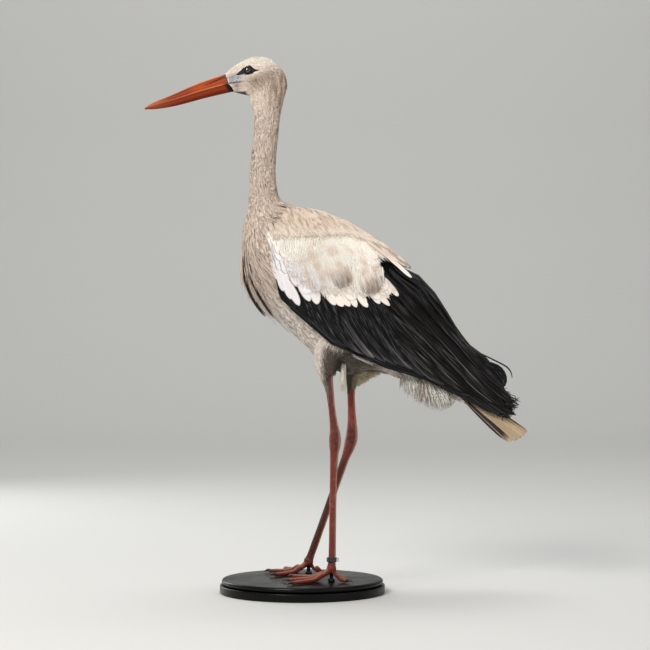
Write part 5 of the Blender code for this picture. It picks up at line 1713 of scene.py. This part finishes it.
def lock_layer(k, s_low, s_high, lift, reach, count):
    """Long strands that lift off the breast towards their tips."""
    dice, u = seeded(70 + k), stations(LOCK)
    s = dice.uniform(s_low, s_high, count)
    t = pi + .62 * np.clip(dice.normal(size=count) * .6, -1.2, 1.2)
    lengths = reach * dice.uniform(.6, 1.08, count)
    p, q = follow(body, s, t, lengths, .05 * dice.normal(size=count) - .25 * np.sin(t), u)
    centre, out = on_surface(body, p, q, coat_depth(s), lift * dice.uniform(.75, 1.1, count), u)
    made = blades(centre, out, dice.uniform(.0009, .0019, count), .0005, LOCK, body_map(s, t),
        roll=.4 * dice.normal(size=count), seed=70 + k)
    return shaded(made, plumage(body(p[:, 3], q[:, 3])) * (.9 + .1 * k), .6, .12, 70 + k)


def parting_shade(k, marks, mirror):
    """Dark strands along a curve through marks (s, t), over the locks, as painted shade where they part."""
    dice, u = seeded(75 + k), stations(LOCK)
    start = dice.uniform(-.05, .7, PARTING_STRANDS)
    places = np.clip((start[:, None] + .3 * u) * (len(marks) - 1), 0, len(marks) - 1)
    p, q = np.moveaxis(smooth_rows(marks, places.ravel()).reshape(*places.shape, 2), -1, 0)
    q = pi + mirror * (q + .014 * dice.normal(size=(PARTING_STRANDS, 1)) - pi)
    above = ((-(.015 - .0035 * k) * dice.uniform(.75, 1.05, PARTING_STRANDS))[:, None]
        * np.interp(p, (13.6, 14.8), (.35, 1.0)))
    made = blades(body(p, q, above), facing(body, p, q, above), dice.uniform(.0003, .0008, PARTING_STRANDS),
        .0003, LOCK, body_map(p[:, 0], q[:, 0]), seed=75 + k)
    return shaded(made, srgb(58, 44, 37), .8, .2, 75 + k)


def shoulder_shade(mirror):
    """Four short dark strands at each of the shoulder's marks, as painted shade in the gaps there."""
    dice = seeded(79)
    s, t, drift = np.repeat(np.array(SHOULDER), 4, 0).T
    s = s + .14 * dice.normal(size=len(s))
    t = pi + mirror * (t - pi + .06 * dice.normal(size=len(s)))
    p, q = follow(body, s, t, .02 * dice.uniform(.6, 1.2, len(s)), drift * mirror, stations(LOCK))
    centre, out = on_surface(body, p, q, 0.0, .0026 + .001 * dice.random(len(s)), stations(LOCK))
    return shaded(blades(centre, out, .0005, .0003, LOCK, body_map(s, t), seed=79), srgb(84, 66, 54), .8,
        .2, 79)


locks = [lock_layer(k, *layer) for k, layer in enumerate(LOCK_LAYERS)]
for mirror in (-1, 1):
    locks += [parting_shade(k, marks, mirror) for k, marks in enumerate(PARTINGS)]
    locks.append(shoulder_shade(mirror))
coat_piece("breast_strands", locks, soft_finish, "breast_feathers", ["breast_plume"])

# %% [markdown]
# ### Thighs and flanks
# Short feathers sheathe the thighs down to just above the hock, painted dark brown behind on the
# near one and above and in front on the far one, as shade under the body and between the legs,
# and pale fluff trails from the back of the far one. A thin pale edge shows between each folded
# wing and the flank. The thigh is a tapering column, so its feathers follow that simple form.

# %% Thigh coats
FLUFF_COUNT = 560


def thigh(side):
    """A tapering column through the thigh's table: p runs down its rows and q round it."""
    line = leg_lines[side]
    rows = np.vstack([THIGHS[side], line[np.abs(line[:, 2] - .338).argmin()]])

    def surface(p, q, depth=0.0):
        row = smooth_rows(rows, np.ravel(p)).reshape(*np.shape(p), 4)
        radius = row[..., 3] + .0035 * fade(4.6, 3.0, p) - depth
        return row[..., :3] + radius[..., None] * np.stack([np.cos(q), np.sin(q), 0 * q], -1)
    return surface


def thigh_colour(side, roots):
    """Cream in front, painted dark brown behind and on the lower part as shade; the far thigh is
    tan, painted dark above and in front as shade.
    """
    off = roots[:, 0] - np.interp(roots[:, 2], *THIGHS[side][::-1, [2, 0]].T)
    if side == "right":
        # Painted shade: the far thigh is dark brown above, under the belly, and in front, but not behind.
        grey = np.maximum(fade(.398, .41, roots[:, 2]), fade(.004, -.006, off)) * fade(.016, .004, off)
        tone = srgb(150, 134, 110)
    else:
        # Painted shade: the near thigh is dark brown behind, and brown on its lower, rear part.
        grey = (fade(-.02, -.001, off) * fade(.35, .368, roots[:, 2])
            * fade(.462, .446, roots[:, 2] + .4 * off))
        rear_shade = fade(-.02, -.01, off) * fade(.43, .4, roots[:, 2])
        tone = glazed(plumage(roots + (-.03, 0, 0)), (BROWN, .5 * rear_shade))
    return glazed(tone, (srgb(64, 49, 35), .92 * grey))


def thigh_feathers(side, surface, dice, seed):
    """Short wisps down the column, as far as the feathers reach."""
    u = stations(WISP)
    p, q = scatter(2600, surface, (.1, 4.9), (0, TAU),
        lambda spots: np.where(spots[..., 2] > feather_edge(spots) + .006, 1.0, 0.0), seed)
    lengths = np.interp(p, (0, 2, 4, 5), (.03, .024, .014, .008)) * dice.uniform(.7, 1.1, len(p))
    p_run, q_run = follow(surface, p, q, lengths, .14 * dice.normal(size=len(p)), u)
    lift = dice.uniform(0, .0016, len(p)) * np.interp(p, (3, 4.5), (1, .2))
    centre, out = on_surface(surface, np.clip(p_run, 0, 5), q_run, .0032, lift, u)
    made = blades(centre, out, np.interp(p, (3, 4.5), (.0016, .0009)), .0004, WISP,
        np.stack([.05 + .15 * p, .02 + .96 * (q % TAU) / TAU], -1), seed=81)
    return shaded(made, thigh_colour(side, surface(p, q)), .66, .09, seed + 1)


def trailing_fluff(surface, dice):
    """Pale fluff that trails from the back of a thigh."""
    p, q = dice.uniform(1.7, 3.9, FLUFF_COUNT), .5 * dice.normal(size=FLUFF_COUNT)
    first = np.array((1.0, 0, 0.0)) + .2 * dice.normal(size=(FLUFF_COUNT, 3))
    last = np.array((.9, 0, -.9)) + .3 * dice.normal(size=(FLUFF_COUNT, 3))
    lengths = np.interp(p, (1.7, 2.6, 3.9), (.026, .018, .007)) * dice.uniform(.6, 1.1, FLUFF_COUNT)
    return hanging(surface(p, q, .002), first, last, lengths, .0008, WISP,
        np.stack([.05 + .15 * p, .5 + .1 * q], -1), srgb(220, 206, 180), .9, .08, 83,
        np.array((.2, -1.0, .3)))


for side, seed in (("left", 79), ("right", 81)):
    surface, dice = thigh(side), seeded(seed)
    parts = [thigh_feathers(side, surface, dice, seed)]
    if side == "right":
        parts.append(trailing_fluff(surface, dice))
    coat_piece(f"thigh_{side}_coat", parts, soft_finish, "thigh_feathers")

# %% Flank edges
EDGE_STRANDS = 44
strands = []
for sign in (-1, 1):
    dice = seeded(90 + sign)
    share = dice.uniform(0, .75, EDGE_STRANDS)
    x, z = .086 + .04 * share, .424 - .0185 * share + .0013 * dice.normal(size=EDGE_STRANDS)
    y = sign * (np.array([skin_height(*spot, sign, .02) for spot in zip(x, z)]) + .0085)
    way = np.array((.04, 0, -.0185)) + .004 * dice.normal(size=(EDGE_STRANDS, 3))
    strands.append(hanging(np.stack([x, y, z], -1), way, way, dice.uniform(.01, .018, EDGE_STRANDS), .0005,
        LOCK, body_map(20 + share, pi + sign * (1.0 + 0 * share)), srgb(255, 247, 240), .95, .05, 91,
        np.array((0, sign, .5))))
coat_piece("flank_edges", strands, soft_finish, "body_feathers")
